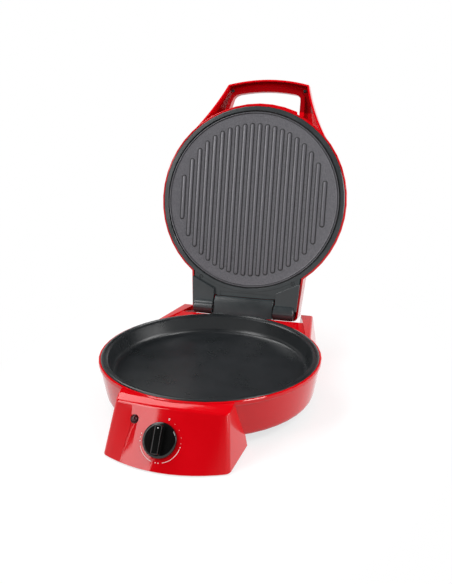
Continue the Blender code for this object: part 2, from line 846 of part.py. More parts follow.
def make_recess(name, grow):
    """Space for the lid's tail: a deck, a trough round the hinge, a slope."""
    y0 = EAR_FRONT_Y - OVERRUN
    y2 = EAR_BACK_Y + EAR_BACK_FLARE + OVERRUN
    deck = RIM_HEIGHT - DECK_DROP - grow
    axis = RIM_HEIGHT - HINGE_DROP
    radius = TROUGH_RADIUS + grow
    start = math.degrees(math.asin((axis - deck) / radius))
    trough = arc((HINGE_BACK, axis), radius, -180 + start,
                 -90 - math.degrees(TROUGH_SLOPE), TROUGH_STEPS)
    last_y, last_z = trough[-1]
    end = last_z - (y2 - last_y) * math.tan(TROUGH_SLOPE)
    roof = RIM_HEIGHT + OVERRUN
    side = [(y0, deck)] + trough + [(y2, end), (y2, roof), (y0, roof)]
    shape = side_prism(name, side, EAR_FRONT_HALF + OVERRUN)
    walls = []
    floor = end - OVERRUN
    for y in (y0 - OVERRUN, y2 + OVERRUN):
        low = recess_half(y, RIM_HEIGHT - floor) + grow
        high = recess_half(y, -OVERRUN * 2) + grow
        walls.append([(-low, y, floor), (low, y, floor),
                      (high, y, RIM_HEIGHT + OVERRUN * 2), (-high, y, RIM_HEIGHT + OVERRUN * 2)])
    return keep(shape, loft(name + "_sides", walls))


def ear_half(y):
    """Half width of the hinge housing along its top."""
    share = (y - EAR_FRONT_Y) / (EAR_BACK_Y - EAR_FRONT_Y)
    return EAR_FRONT_HALF + (EAR_BACK_HALF - EAR_FRONT_HALF) * share


def ear_rings(inset, drop):
    """Foot and top outlines of the hinge housing."""
    front = EAR_FRONT_Y + inset
    end = EAR_BACK_Y + EAR_BACK_FLARE - inset
    back = EAR_BACK_Y - inset
    foot = SKIRT_LIFT - drop
    front_half = EAR_FRONT_HALF - inset
    back_half = EAR_BACK_HALF - inset
    low_front = front_half + EAR_FLARE
    low_back = back_half + EAR_FLARE
    front_top = RIM_HEIGHT - EAR_FRONT_DROP - inset
    back_top = RIM_HEIGHT - EAR_BACK_DROP - inset
    return [
        [(-low_front, front, foot), (low_front, front, foot),
         (low_back, end, foot), (-low_back, end, foot)],
        [(-front_half, front, front_top), (front_half, front, front_top),
         (back_half, back, back_top), (-back_half, back, back_top)],
    ]


def make_ears():
    """Hinge housing: a block that tapers to the back and flares to the table."""
    ear = loft("hinge_housing_form", ear_rings(0, 0))
    rear = EAR_BACK_Y - OVERRUN
    crown = RIM_HEIGHT - EAR_BACK_DROP - FIT

    def is_outer(point):
        return point.z > crown or point.y > rear
    chamfer_some(ear, EAR_ROUND, is_outer)
    return cut(ear, make_recess("recess", 0))


def make_ear_room(bowl_profile):
    """Hollow of the hinge housing, open below and clear of the bowl."""
    room = loft("hinge_housing_room", ear_rings(WALL, OVERRUN))
    cut(room, turned("bowl_for_ear_room", bowl_profile))
    return cut(room, make_recess("recess_skin", WALL))


def boss_between(name, radius, x, y, bottom, top):
    return drum(name, radius, bottom, top, (x, y, 0), steps=SMALL_STEPS)


def belly_places():
    return ring_places(BELLY_COUNT, BELLY_RING, BELLY_START)


def cover_places():
    """Screws of the front and rear covers."""
    return [(s * FRONT_BOSS_X, FRONT_BOSS_Y) for s in (-1, 1)] + [
        (s * BACK_BOSS_X, BACK_BOSS_Y) for s in (-1, 1)]


def gland_place():
    """Centre of the inlet on the rear wall's outer side, and its turn."""
    rise = RIM_HEIGHT - EAR_BACK_DROP - SKIRT_LIFT
    share = (GLAND_HEIGHT - SKIRT_LIFT) / rise
    y = EAR_BACK_Y + EAR_BACK_FLARE * (1 - share)
    return (GLAND_X, y, GLAND_HEIGHT), (-math.pi / 2 + math.atan(EAR_BACK_FLARE / rise), 0, 0)


def make_base_housing():
    bowl = make_bowl()
    housing = turned("base_housing", bowl)
    add(housing, make_control_box(), make_ears())
    cut(housing, make_bowl_room(), make_box_room(bowl), make_ear_room(bowl))
    turn = face_turn()
    under = RIM_HEIGHT - LEDGE_DROP - LEDGE_THICKNESS
    add(housing, drum("thermostat_boss", STAT_BOSS_RADIUS, -STAT_BOSS_DEPTH, -WALL,
                      along_face(KNOB_X, KNOB_HEIGHT, 0), turn))
    add(housing, drum("lamp_boss", LAMP_BOSS_RADIUS, -LAMP_BOSS_DEPTH, -WALL,
                      along_face(LAMP_X, LAMP_HEIGHT, 0), turn))
    for number, (x, y) in enumerate(belly_places(), 1):
        add(housing, boss_between(f"belly_boss_{number}", BOSS_RADIUS, x, y,
                                  under, under + BOSS_LENGTH))
    cover_top = COVER_LIFT + COVER_THICKNESS + FIT
    for number, (x, y) in enumerate(cover_places(), 1):
        add(housing, boss_between(f"cover_boss_{number}", BOSS_RADIUS, x, y,
                                  cover_top, COVER_BOSS_TOP))
        add(housing, cover_web(number, x, y, cover_top))
    for number, (x, y) in enumerate(belly_places(), 1):
        cut(housing, drum(f"belly_hole_{number}", SCREW_HOLE_RADIUS, under - WALL,
                          under + SCREW_LENGTH, (x, y, 0)))
    for number, (x, y) in enumerate(cover_places(), 1):
        cut(housing, drum(f"cover_hole_{number}", SCREW_HOLE_RADIUS, cover_top - WALL,
                          cover_top + SCREW_LENGTH, (x, y, 0)))
    for number, side in enumerate((-1, 1), 1):
        place, lean = bracket_screw_place(side)
        cut(housing, drum(f"hinge_block_hole_{number}", SCREW_HOLE_RADIUS,
                          -WALL * 3, WALL * 2, place, lean))
    cut(housing, drum("thermostat_hole", STAT_BUSH_RADIUS + FIT, -STAT_BOSS_DEPTH * 2,
                      STAT_BOSS_DEPTH, along_face(KNOB_X, KNOB_HEIGHT, 0), turn))
    lamp = along_face(LAMP_X, LAMP_HEIGHT, 0)
    cut(housing, drum("lamp_hole", LAMP_RADIUS + FIT, -LAMP_BOSS_DEPTH * 2,
                      LAMP_BOSS_DEPTH, lamp, turn),
        drum("lamp_seat", LAMP_FLANGE_RADIUS + FIT, -LAMP_SINK, LAMP_BOSS_DEPTH, lamp, turn))
    cut(housing, drum("front_lead_hole", LEAD_HOLE_RADIUS, -OVERRUN, OVERRUN,
                      (0, -BOWL_TOP_RADIUS, LEAD_HOLE_HEIGHT), (math.pi / 2, 0, 0)))
    cut(housing, drum("rear_lead_hole", LEAD_HOLE_RADIUS, -OVERRUN / 2, OVERRUN / 2,
                      (GLAND_X, math.sqrt(BOWL_LOW_RADIUS ** 2 - GLAND_X ** 2),
                       LEAD_HOLE_HEIGHT), (math.pi / 2, 0, 0)))
    spot, lean = gland_place()
    cut(housing, drum("gland_hole", GLAND_RADIUS + FIT, -OVERRUN / 2, OVERRUN / 2, spot, lean))
    return housing


def cover_web(number, x, y, bottom):
    """Rib that ties a cover's boss to the nearest side wall."""
    side = 1 if x > 0 else -1
    if y < 0:
        reach = FACE_TOP_HALF - WALL - abs(x)
    else:
        reach = ear_half(y) + (EAR_FLARE - WALL) / 2 - abs(x)
    return block(f"cover_web_{number}", (reach, WALL, COVER_BOSS_TOP - bottom),
                 (x + side * reach / 2, y, (COVER_BOSS_TOP + bottom) / 2))


# Pan, elements and reflectors

def make_lower_plate():
    """Pan with a stepped rim, a rounded wall and posts below."""
    rim = RIM_HEIGHT
    floor = rim - PAN_DEPTH
    wall = blend_curve((PAN_FLOOR_RADIUS - PAN_FLOOR_FILLET, floor),
                       (PAN_FLOOR_RADIUS + PAN_EDGE, floor),
                       (PAN_FLOOR_RADIUS + PAN_EDGE * 2, floor + PAN_FLOOR_FILLET), 3)
    profile = [(0, floor)] + wall + [
        (PAN_MOUTH_RADIUS, rim - PAN_SILL * 2),
        (PAN_MOUTH_RADIUS + PAN_EDGE * 2, rim - PAN_SILL / 2),
        (PAN_BEAD_RADIUS - PAN_EDGE * 3, rim - PAN_SILL / 2),
        (PAN_BEAD_RADIUS - PAN_EDGE * 2, rim + PAN_BEAD_RISE),
        (PAN_BEAD_RADIUS, rim + PAN_BEAD_RISE),
        (PAN_RADIUS - PAN_EDGE, rim + PAN_BEAD_RISE / 2),
        (PAN_RADIUS, rim - PAN_EDGE / 2),
        (PAN_RADIUS, rim - PAN_PLATE),
        (PAN_MOUTH_RADIUS + PAN_PLATE, rim - PAN_PLATE),
        (PAN_FLOOR_RADIUS + PAN_PLATE, floor),
        (PAN_FLOOR_RADIUS - PAN_EDGE * 2, floor - PAN_PLATE),
        (0, floor - PAN_PLATE),
    ]
    plate = lathe("lower_plate", profile)
    add_posts(plate, "lower", floor - PAN_PLATE, -1)
    return plate


def add_posts(plate, name, level, away):
    """Posts on the back of a plate, each with a blind hole for a tie screw."""
    for number, (x, y) in enumerate(ring_places(POST_COUNT, POST_RING, math.pi / 2), 1):
        end = level + away * POST_LENGTH
        root = level - away * PAN_EDGE
        add(plate, drum(f"{name}_post_{number}", POST_RADIUS, min(root, end), max(root, end),
                        (x, y, 0), steps=HOLE_STEPS))
        inner = end - away * (SCREW_LENGTH + FIT)
        outer = end + away * WALL
        cut(plate, drum(f"{name}_post_hole_{number}", SCREW_HOLE_RADIUS, min(inner, outer),
                        max(inner, outer), (x, y, 0), steps=HOLE_STEPS))


def make_element(name, level, away, tail_y):
    """Open heating ring with two tails that run out side by side."""
    z = level + away * (ELEMENT_TOP + ELEMENT_RADIUS)
    heading = math.pi / 2 * tail_y
    span = 2 * math.pi - ELEMENT_GAP_ANGLE
    start = heading + ELEMENT_GAP_ANGLE / 2
    points = []
    for i in range(ELEMENT_STEPS + 1):
        x, y = polar(ELEMENT_RING, start + span * i / ELEMENT_STEPS)
        points.append((x, y, z))
    first = Vector(points[0])
    last = Vector(points[-1])
    out = Vector((0, tail_y, 0))
    bend = ELEMENT_RADIUS * 2
    reaches = [ELEMENT_TAIL] + [bend * share for share in ELEMENT_BEND_SHARES]
    lead = [tuple(first + out * reach) for reach in reaches]
    rest = [tuple(last + out * reach) for reach in reversed(reaches)]
    return tube(name, lead + points[1:-1] + rest, ELEMENT_RADIUS)


def make_reflector(name, level, away, tail_y):
    """Pressed sheet dish that clamps the element against the plate's back."""
    def at(depth):
        return level + away * depth
    floor = POST_LENGTH + FIT
    ridge = ELEMENT_TOP + ELEMENT_RADIUS * 2 + FIT * 2
    rim = REFLECTOR_RIM_GAP
    inner = ELEMENT_RING - RIDGE_HALF
    outer = ELEMENT_RING + RIDGE_HALF
    wall = REFLECTOR_RADIUS - REFLECTOR_RIM_WIDTH
    near = [
        (0, floor), (inner - RIDGE_RUN, floor), (inner, ridge), (outer, ridge),
        (outer + RIDGE_RUN, floor), (wall - RIDGE_RUN, floor), (wall, rim),
        (REFLECTOR_RADIUS, rim),
    ]
    far = [(r, d + SHEET) for r, d in near]
    far[1] = (far[1][0] + SHEET, far[1][1])
    far[4] = (far[4][0] - SHEET, far[4][1])
    far[5] = (far[5][0] + SHEET, far[5][1])
    far[6] = (far[6][0] + SHEET, far[6][1])
    far[2] = (far[2][0] + SHEET, far[2][1])
    far[3] = (far[3][0] - SHEET, far[3][1])
    dish = lathe(name, [(r, at(d)) for r, d in near + list(reversed(far))], REFLECTOR_STEPS)
    for number, (x, y) in enumerate(ring_places(POST_COUNT, POST_RING, math.pi / 2), 1):
        cut(dish, drum(f"{name}_hole_{number}", SCREW_HOLE_RADIUS, -OVERRUN, OVERRUN,
                       (x, y, at(floor)), steps=HOLE_STEPS))
    notch = ELEMENT_RING * math.sin(ELEMENT_GAP_ANGLE / 2) + ELEMENT_RADIUS * 2
    return cut(dish, block(f"{name}_notch", (notch * 2, RIDGE_RUN * 4, ridge * 2 + WALL),
                           (0, tail_y * (wall + FIT), level)))


def make_ties(name, level, away):
    """Screws that hold a reflector to the posts of its plate."""
    ties = []
    seat = level + away * (POST_LENGTH + FIT + SHEET + FIT)
    turn = (0, 0, 0) if away < 0 else (math.pi, 0, 0)
    for number, (x, y) in enumerate(ring_places(POST_COUNT, POST_RING, math.pi / 2), 1):
        ties.append(make_screw(f"{name}_tie_screw_{number}", SCREW_LENGTH, (x, y, seat), turn))
    return ties


# Bottom covers, feet and what is fixed inside the base

def make_belly_cover():
    """Round cover under the bowl, with a ring of vents."""
    top = RIM_HEIGHT - LEDGE_DROP - LEDGE_THICKNESS - FIT
    bottom = top - COVER_THICKNESS + COVER_GAP
    radius = BOWL_FOOT_RADIUS - WALL - COVER_GAP
    cover = lathe("belly_cover", [
        (0, top), (radius, top), (radius, bottom + FIT * 2),
        (radius - FIT * 2, bottom), (0, bottom)])
    for number in range(VENT_COUNT):
        angle = 2 * math.pi * (number + 0.5) / VENT_COUNT
        x, y = polar(VENT_RING, angle)
        cut(cover, block(f"vent_{number + 1}", (VENT_LENGTH, VENT_WIDTH, OVERRUN),
                         (x, y, bottom), (0, 0, angle)))
    for number, (x, y) in enumerate(belly_places(), 1):
        cut(cover, drum(f"belly_cover_hole_{number}", SCREW_HOLE_RADIUS, -OVERRUN, OVERRUN,
                        (x, y, bottom), steps=HOLE_STEPS))
    return cover


def make_front_cover():
    """Plate under the control box, inside its skirt."""
    top = COVER_LIFT + COVER_THICKNESS
    outline = outline_between(box_room_rings(BOX_WALL + COVER_GAP * 2), top)
    cover = prism("front_cover", outline, COVER_LIFT, top)
    return cut_cover(cover, "front_cover", 0, 2, FRONT_FOOT_X, FRONT_FOOT_Y)


def make_rear_cover():
    """Plate under the hinge housing, inside its skirt."""
    top = COVER_LIFT + COVER_THICKNESS
    outline = outline_between(ear_rings(WALL + COVER_GAP, OVERRUN), top)
    cover = prism("rear_cover", outline, COVER_LIFT, top)
    return cut_cover(cover, "rear_cover", 2, 4, BACK_FOOT_X, BACK_FOOT_Y)


def cut_cover(cover, name, first, last, foot_x, foot_y):
    """Holes for a cover's two screws and for its two feet."""
    for number, (x, y) in enumerate(cover_places()[first:last], 1):
        cut(cover, drum(f"{name}_hole_{number}", SCREW_HOLE_RADIUS, -OVERRUN, OVERRUN,
                        (x, y, COVER_LIFT), steps=HOLE_STEPS))
    for number, side in enumerate((-1, 1), 1):
        cut(cover, drum(f"{name}_foot_hole_{number}", FOOT_STEM_RADIUS + FIT, -OVERRUN, OVERRUN,
                        (side * foot_x, foot_y, COVER_LIFT), steps=HOLE_STEPS))
    return cover


def make_foot(name, x, y):
    """Rubber foot with a stem that snaps through a cover."""
    pad = COVER_LIFT - FIT
    seat = COVER_LIFT + COVER_THICKNESS + FIT
    head = seat + FOOT_HEAD_HEIGHT
    return lathe(name, [
        (0, 0),
        (FOOT_RADIUS - FIT * 3, 0),
        (FOOT_RADIUS, pad),
        (FOOT_STEM_RADIUS, pad),
        (FOOT_STEM_RADIUS, seat),
        (FOOT_HEAD_RADIUS, seat),
        (FOOT_STEM_RADIUS, head),
        (0, head),
    ], SMALL_STEPS, (x, y, 0))


def make_cover_screws():
    screws = []
    under = RIM_HEIGHT - LEDGE_DROP - LEDGE_THICKNESS - FIT - COVER_THICKNESS + COVER_GAP - FIT
    for number, (x, y) in enumerate(belly_places(), 1):
        screws.append(make_screw(f"belly_screw_{number}", SCREW_LENGTH, (x, y, under)))
    for number, (x, y) in enumerate(cover_places(), 1):
        screws.append(make_screw(f"cover_screw_{number}", SCREW_LENGTH,
                                 (x, y, COVER_LIFT - FIT)))
    return screws


def make_thermostat():
    """Round switch behind the face: its bush enters the boss's hole."""
    back = -STAT_BOSS_DEPTH - FIT
    return lathe("thermostat_body", [
        (0, -SHAFT_DEPTH - FIT * 2),
        (STAT_BUSH_BORE, -SHAFT_DEPTH - FIT * 2),
        (STAT_BUSH_BORE, -BOX_WALL / 2),
        (STAT_BUSH_RADIUS, -BOX_WALL / 2),
        (STAT_BUSH_RADIUS, back),
        (STAT_RADIUS, back),
        (STAT_RADIUS, back - STAT_LENGTH + WALL / 2),
        (STAT_RADIUS - WALL / 2, back - STAT_LENGTH),
        (0, back - STAT_LENGTH),
    ], SMALL_STEPS, along_face(KNOB_X, KNOB_HEIGHT, 0), face_turn())


def make_lamp():
    """Red lens with a flange in the face, and the lamp body behind it."""
    place = along_face(LAMP_X, LAMP_HEIGHT, 0)
    turn = face_turn()
    top = -LAMP_SINK + FIT + LAMP_FLANGE
    dome = [(0, top + LAMP_DOME)]
    for i in range(1, 5):
        angle = math.pi / 2 * (1 - i / 5)
        dome.append((LAMP_RADIUS * math.cos(angle), top + LAMP_DOME * math.sin(angle)))
    lens = lathe("indicator_lens", dome + [
        (LAMP_RADIUS, top - FIT),
        (LAMP_RADIUS + FIT, top - FIT),
        (LAMP_RADIUS + FIT * 2, top),
        (LAMP_FLANGE_RADIUS - FIT * 2, top),
        (LAMP_FLANGE_RADIUS, top - FIT * 2),
        (LAMP_FLANGE_RADIUS, top - LAMP_FLANGE),
        (LAMP_RADIUS, top - LAMP_FLANGE),
        (LAMP_RADIUS, top - LAMP_FLANGE - LAMP_NECK),
        (0, top - LAMP_FLANGE - LAMP_NECK),
    ], SMALL_STEPS, place, turn)
    start = -LAMP_BOSS_DEPTH - FIT
    body = lathe("indicator_lamp", [
        (0, start),
        (LAMP_BODY_RADIUS, start),
        (LAMP_BODY_RADIUS, start - LAMP_BODY_LENGTH + FIT * 3),
        (LAMP_BODY_RADIUS - FIT * 3, start - LAMP_BODY_LENGTH),
        (0, start - LAMP_BODY_LENGTH),
    ], SMALL_STEPS, place, turn)
    return lens, body


def make_terminal_block():
    size = Vector(BLOCK_SIZE)
    base = COVER_LIFT + COVER_THICKNESS + FIT
    body = block("terminal_block", size, (0, BLOCK_Y, base + size.z / 2))
    chamfer(body, FIT * 3, 1)
    for number in range(3):
        x = (number - 1) * BLOCK_PITCH
        cut(body, drum(f"terminal_hole_{number + 1}", BLOCK_HOLE_RADIUS, -size.y, size.y,
                       (x, BLOCK_Y, base + size.z / 2), (math.pi / 2, 0, 0), steps=HOLE_STEPS))
    return body


def make_gland():
    """Inlet bush in the rear wall, with an open bore."""
    place, turn = gland_place()
    return lathe("cord_gland", [
        (GLAND_BORE, GLAND_FLANGE),
        (GLAND_FLANGE_RADIUS - FIT * 2, GLAND_FLANGE),
        (GLAND_FLANGE_RADIUS, GLAND_FLANGE - FIT * 2),
        (GLAND_FLANGE_RADIUS, FIT),
        (GLAND_RADIUS, FIT),
        (GLAND_RADIUS, FIT - GLAND_LENGTH),
        (GLAND_BORE, FIT - GLAND_LENGTH),
    ], SMALL_STEPS, place, turn)


def bracket_floor(y):
    """Height of the trough under the hinge block."""
    away = y - HINGE_BACK
    turn_y = -TROUGH_RADIUS * math.sin(TROUGH_SLOPE)
    axis = RIM_HEIGHT - HINGE_DROP
    if away < turn_y:
        return axis - math.sqrt(TROUGH_RADIUS ** 2 - away ** 2)
    low = axis - TROUGH_RADIUS * math.cos(TROUGH_SLOPE)
    return low - (away - turn_y) * math.tan(TROUGH_SLOPE)


def bracket_screw_place(side):
    """Place on the trough's floor of a hinge block screw, and its lean."""
    y = BRACKET_SCREW_Y
    return (side * BRACKET_SCREW_X, y, bracket_floor(y)), (-TROUGH_SLOPE, 0, 0)


def make_hinge_block():
    """Wide bearing for the lid's pin, seated in the trough."""
    sole = []
    first = BRACKET_FRONT_Y + WALL / 4
    for i in range(5):
        y = first + (BRACKET_HEEL_Y - first) * i / 4
        sole.append((y, bracket_floor(y) + FIT * 2))
    side = sole + [
        (BRACKET_BACK[0], RIM_HEIGHT + BRACKET_BACK[1]),
        (BRACKET_CREST_BACK[0], RIM_HEIGHT + BRACKET_CREST_BACK[1]),
        (BRACKET_CREST[0], RIM_HEIGHT + BRACKET_CREST[1]),
        (BRACKET_CREASE[0], RIM_HEIGHT + BRACKET_CREASE[1]),
        (BRACKET_FRONT_Y, RIM_HEIGHT + BRACKET_TOE_TOP),
        (BRACKET_TOE[0], RIM_HEIGHT + BRACKET_TOE_TOP),
        (BRACKET_TOE[0], RIM_HEIGHT + BRACKET_TOE[1]),
    ]
    body = side_prism("hinge_block", side, BRACKET_HALF)
    chamfer(body, BRACKET_ROUND, 3, math.radians(25))
    cut(body, drum("hinge_block_bore", PIN_HOLE_RADIUS, -BRACKET_HALF - WALL,
                   BRACKET_HALF + WALL, (0, HINGE_BACK, RIM_HEIGHT - HINGE_DROP),
                   (0, math.pi / 2, 0)))
    for number, side_sign in enumerate((-1, 1), 1):
        place, lean = bracket_screw_place(side_sign)
        cut(body, drum(f"hinge_block_screw_hole_{number}", SCREW_HOLE_RADIUS, -WALL * 2,
                       BRACKET_SCREW_GRIP, place, lean, steps=HOLE_STEPS))
    return body


def make_bracket_screws():
    """Screws that come up through the trough's floor into the hinge block."""
    screws = []
    for number, side in enumerate((-1, 1), 1):
        place, lean = bracket_screw_place(side)
        seat = Vector(place) + turned_vector((0, 0, -WALL - FIT), lean)
        screws.append(make_screw(f"hinge_block_screw_{number}",
                                 WALL + BRACKET_SCREW_GRIP - FIT, tuple(seat), lean))
    return screws


def make_pin():
    return lathe("hinge_pin", [
        (0, PIN_HALF), (PIN_RADIUS - FIT, PIN_HALF), (PIN_RADIUS, PIN_HALF - FIT),
        (PIN_RADIUS, FIT - PIN_HALF), (PIN_RADIUS - FIT, -PIN_HALF), (0, -PIN_HALF),
    ], SMALL_STEPS, (0, HINGE_BACK, RIM_HEIGHT - HINGE_DROP), (0, math.pi / 2, 0))


# Knob, drawn along +Z from the face of the control box

def make_knob():
    """Flanged knob with a raised bar across it, hollow behind."""
    profile = [
        (0, KNOB_DISC),
        (KNOB_TOP_RADIUS - KNOB_EDGE, KNOB_DISC),
        (KNOB_TOP_RADIUS, KNOB_DISC - KNOB_EDGE / 3),
        (KNOB_RADIUS - KNOB_EDGE / 3, KNOB_SKIRT + KNOB_EDGE / 2),
        (KNOB_RADIUS, KNOB_SKIRT),
        (KNOB_RADIUS, KNOB_FLOAT + FIT),
        (KNOB_RADIUS - FIT, KNOB_FLOAT),
        (KNOB_HOLLOW_RADIUS, KNOB_FLOAT),
        (KNOB_HOLLOW_RADIUS, KNOB_FLOAT + KNOB_HOLLOW),
        (KNOB_HUB_RADIUS, KNOB_FLOAT + KNOB_HOLLOW),
        (KNOB_HUB_RADIUS, KNOB_FLOAT + KNOB_HUB_LIFT),
        (0, KNOB_FLOAT + KNOB_HUB_LIFT),
    ]
    knob = lathe("knob", profile, MEDIUM_STEPS)
    half = KNOB_BAR_WIDTH / 2
    top = half * KNOB_BAR_TAPER_SHARE
    reach = KNOB_RADIUS
    base = KNOB_DISC - KNOB_BAR_SINK
    bar = loft("knob_bar", [
        [(-half, -reach, base), (half, -reach, base), (half, reach, base), (-half, reach, base)],
        [(-top, -reach, KNOB_BAR_TOP), (top, -reach, KNOB_BAR_TOP),
         (top, reach, KNOB_BAR_TOP), (-top, reach, KNOB_BAR_TOP)],
    ])
    shell = lathe("knob_bar_ends", [
        (0, KNOB_BAR_TOP + WALL),
        (KNOB_TOP_RADIUS - KNOB_EDGE * 2, KNOB_BAR_TOP + WALL),
        (KNOB_TOP_RADIUS - KNOB_EDGE, 0),
        (0, 0),
    ], MEDIUM_STEPS)
    keep(bar, shell)
    chamfer(bar, KNOB_EDGE, 3, math.radians(40))
    add(knob, bar)
    bore = drum("knob_bore", SHAFT_RADIUS + FIT, -WALL, SHAFT_TOP + FIT)
    flat = block("knob_bore_flat", (SHAFT_RADIUS * 4, SHAFT_RADIUS * 2, OVERRUN * 2),
                 (0, SHAFT_FLAT + FIT + SHAFT_RADIUS, 0))
    cut(bore, flat)
    return cut(knob, bore)


def make_shaft():
    """Shaft of the thermostat, with a flat for the knob."""
    shaft = lathe("thermostat_shaft", [
        (0, SHAFT_TOP), (SHAFT_RADIUS - FIT, SHAFT_TOP), (SHAFT_RADIUS, SHAFT_TOP - FIT),
        (SHAFT_RADIUS, -SHAFT_DEPTH), (0, -SHAFT_DEPTH)], SMALL_STEPS)
    flat = block("shaft_flat", (SHAFT_RADIUS * 4, SHAFT_RADIUS * 2, OVERRUN),
                 (0, SHAFT_FLAT + SHAFT_RADIUS, OVERRUN / 2 + KNOB_FLOAT))
    return cut(shaft, flat)


# Lid, drawn closed about the centre of its ring

def tongue_half(y):
    share = (y - TONGUE_ROOT_Y) / (TONGUE_END_Y - TONGUE_ROOT_Y)
    return TONGUE_ROOT_HALF + (TONGUE_END_HALF - TONGUE_ROOT_HALF) * share


def frame_screw_places():
    return [(-FRAME_SCREW_X, FRAME_SCREW_Y), (FRAME_SCREW_X, FRAME_SCREW_Y)]


def plate_screw_places():
    return ring_places(PLATE_SCREW_COUNT, PLATE_SCREW_RING, PLATE_SCREW_START)


def make_lid_frame():
    """Black ring that holds the upper plate, with a tongue to the hinge."""
    ledge = RING_LEDGE_START
    back = ledge + RING_LEDGE_THICKNESS
    frame = lathe("lid_frame", [
        (RING_LEDGE_INNER, back),
        (RING_BACK_OUTER, back),
        (RING_BACK_OUTER, RING_THICKNESS),
        (RING_OUTER, RING_THICKNESS),
        (RING_OUTER, RING_EDGE * 2),
        (RING_OUTER - RING_EDGE * 2, 0),
        (RING_INNER + RING_EDGE * 1.5, 0),
        (RING_INNER, RING_EDGE * 1.5),
        (RING_INNER, ledge),
        (RING_LEDGE_INNER, ledge),
    ])
    outline = [
        (-tongue_half(TONGUE_ROOT_Y), TONGUE_ROOT_Y), (tongue_half(TONGUE_ROOT_Y), TONGUE_ROOT_Y),
        (TONGUE_END_HALF, TONGUE_END_Y), (-TONGUE_END_HALF, TONGUE_END_Y),
    ]
    tongue = prism("tongue", outline, FIT, RING_THICKNESS)
    cut(tongue, drum("tongue_front", RING_INNER + RING_EDGE * 4, -OVERRUN, OVERRUN,
                     steps=TURN_STEPS))
    add(frame, tongue)
    add(frame, make_shroud())
    cut(frame, block("tongue_pocket", (POCKET_HALF * 2, (TONGUE_END_Y - POCKET_START_Y) * 2,
                                       POCKET_DEPTH * 2),
                     (0, TONGUE_END_Y, FIT)))
    for number, (x, y) in enumerate(frame_screw_places(), 1):
        add(frame, drum(f"frame_pad_{number}", FRAME_PAD_RADIUS, FIT * 3, FRAME_PAD_TOP,
                        (x, y, 0)))
    for number, (x, y) in enumerate(frame_screw_places(), 1):
        cut(frame, drum(f"frame_head_hole_{number}", SCREW_HEAD_RADIUS + FIT, -WALL,
                        FRAME_HEAD_SINK, (x, y, 0)),
            drum(f"frame_screw_hole_{number}", SCREW_HOLE_RADIUS, -WALL,
                 FRAME_PAD_TOP + WALL, (x, y, 0), steps=HOLE_STEPS))
    for number, (x, y) in enumerate(plate_screw_places(), 1):
        cut(frame, drum(f"frame_plate_hole_{number}", SCREW_HOLE_RADIUS, ledge - WALL,
                        back + WALL, (x, y, 0), steps=HOLE_STEPS))
    return frame


def make_shroud():
    """Curved wall behind the tongue that turns about the hinge's axis."""
    centre = (HINGE_BACK, LID_DROP)
    first = math.degrees(SHROUD_START)
    last = math.degrees(SHROUD_END)
    near = arc(centre, SHROUD_RADIUS, first, last, SHROUD_STEPS)
    far = arc(centre, SHROUD_RADIUS + SHROUD_WALL, last, first, SHROUD_STEPS)
    return side_prism("tongue_shroud", near + far, SHROUD_HALF)


def rib_ring(half_length, half_width, height):
    """Outline of a rib with round ends, about its own centre."""
    points = []
    straight = half_length - half_width
    for i in range(RIB_STEPS + 1):
        x, y = polar(half_width, math.pi * i / RIB_STEPS)
        points.append((x, straight + y, height))
    for i in range(RIB_STEPS + 1):
        x, y = polar(half_width, math.pi + math.pi * i / RIB_STEPS)
        points.append((x, y - straight, height))
    return points


def make_ribs():
    """All ribs in one mesh, each ending on the same circle."""
    def build(work):
        for number in range(RIB_COUNT):
            x = (number - (RIB_COUNT - 1) / 2) * RIB_PITCH
            half = math.sqrt(RIB_CIRCLE ** 2 - x ** 2)
            rings = [
                rib_ring(half, RIB_WIDTH / 2, PLATE_SINK + RIB_EDGE),
                rib_ring(half, RIB_WIDTH / 2, RIB_TOP + RIB_EDGE),
                rib_ring(half - RIB_EDGE, RIB_WIDTH / 2 - RIB_EDGE, RIB_TOP),
            ]
            made = [[work.verts.new((x + px, py, pz)) for px, py, pz in ring] for ring in rings]
            count = len(made[0])
            for low, high in zip(made, made[1:]):
                for i in range(count):
                    j = (i + 1) % count
                    work.faces.new((low[i], low[j], high[j], high[i]))
            work.faces.new(list(reversed(made[0])))
            work.faces.new(made[-1])
        bmesh.ops.recalc_face_normals(work, faces=work.faces)
    return add_object("ribs", mesh_from(build, "ribs"))


def make_upper_plate():
    """Ribbed plate with a beaded edge, seen when the lid is open."""
    bead = PLATE_RADIUS - PLATE_BEAD_WIDTH
    shore = bead - PLATE_GROOVE_WIDTH
    plate = lathe("upper_plate", [
        (0, PLATE_BACK),
        (PLATE_RADIUS, PLATE_BACK),
        (PLATE_RADIUS, PLATE_BEAD_TOP + RING_EDGE),
        (PLATE_RADIUS - RING_EDGE, PLATE_BEAD_TOP),
        (bead + RING_EDGE, PLATE_BEAD_TOP),
        (bead, PLATE_BEAD_TOP + RING_EDGE),
        (bead - RING_EDGE, PLATE_GROOVE_SINK),
        (shore + RING_EDGE, PLATE_GROOVE_SINK),
        (shore, PLATE_SHORE_SINK),
        (shore - PLATE_SHORE_WIDTH, PLATE_SHORE_SINK + FIT),
        (shore - PLATE_SHORE_WIDTH * 2, PLATE_SINK),
        (0, PLATE_SINK),
    ])
    add(plate, make_ribs())
    add_posts(plate, "upper", PLATE_BACK, 1)
    for number, (x, y) in enumerate(plate_screw_places(), 1):
        cut(plate, drum(f"upper_plate_hole_{number}", SCREW_HOLE_RADIUS,
                        PLATE_BACK - PLATE_SCREW_BITE - FIT, PLATE_BACK + WALL,
                        (x, y, 0), steps=HOLE_STEPS))
    return plate


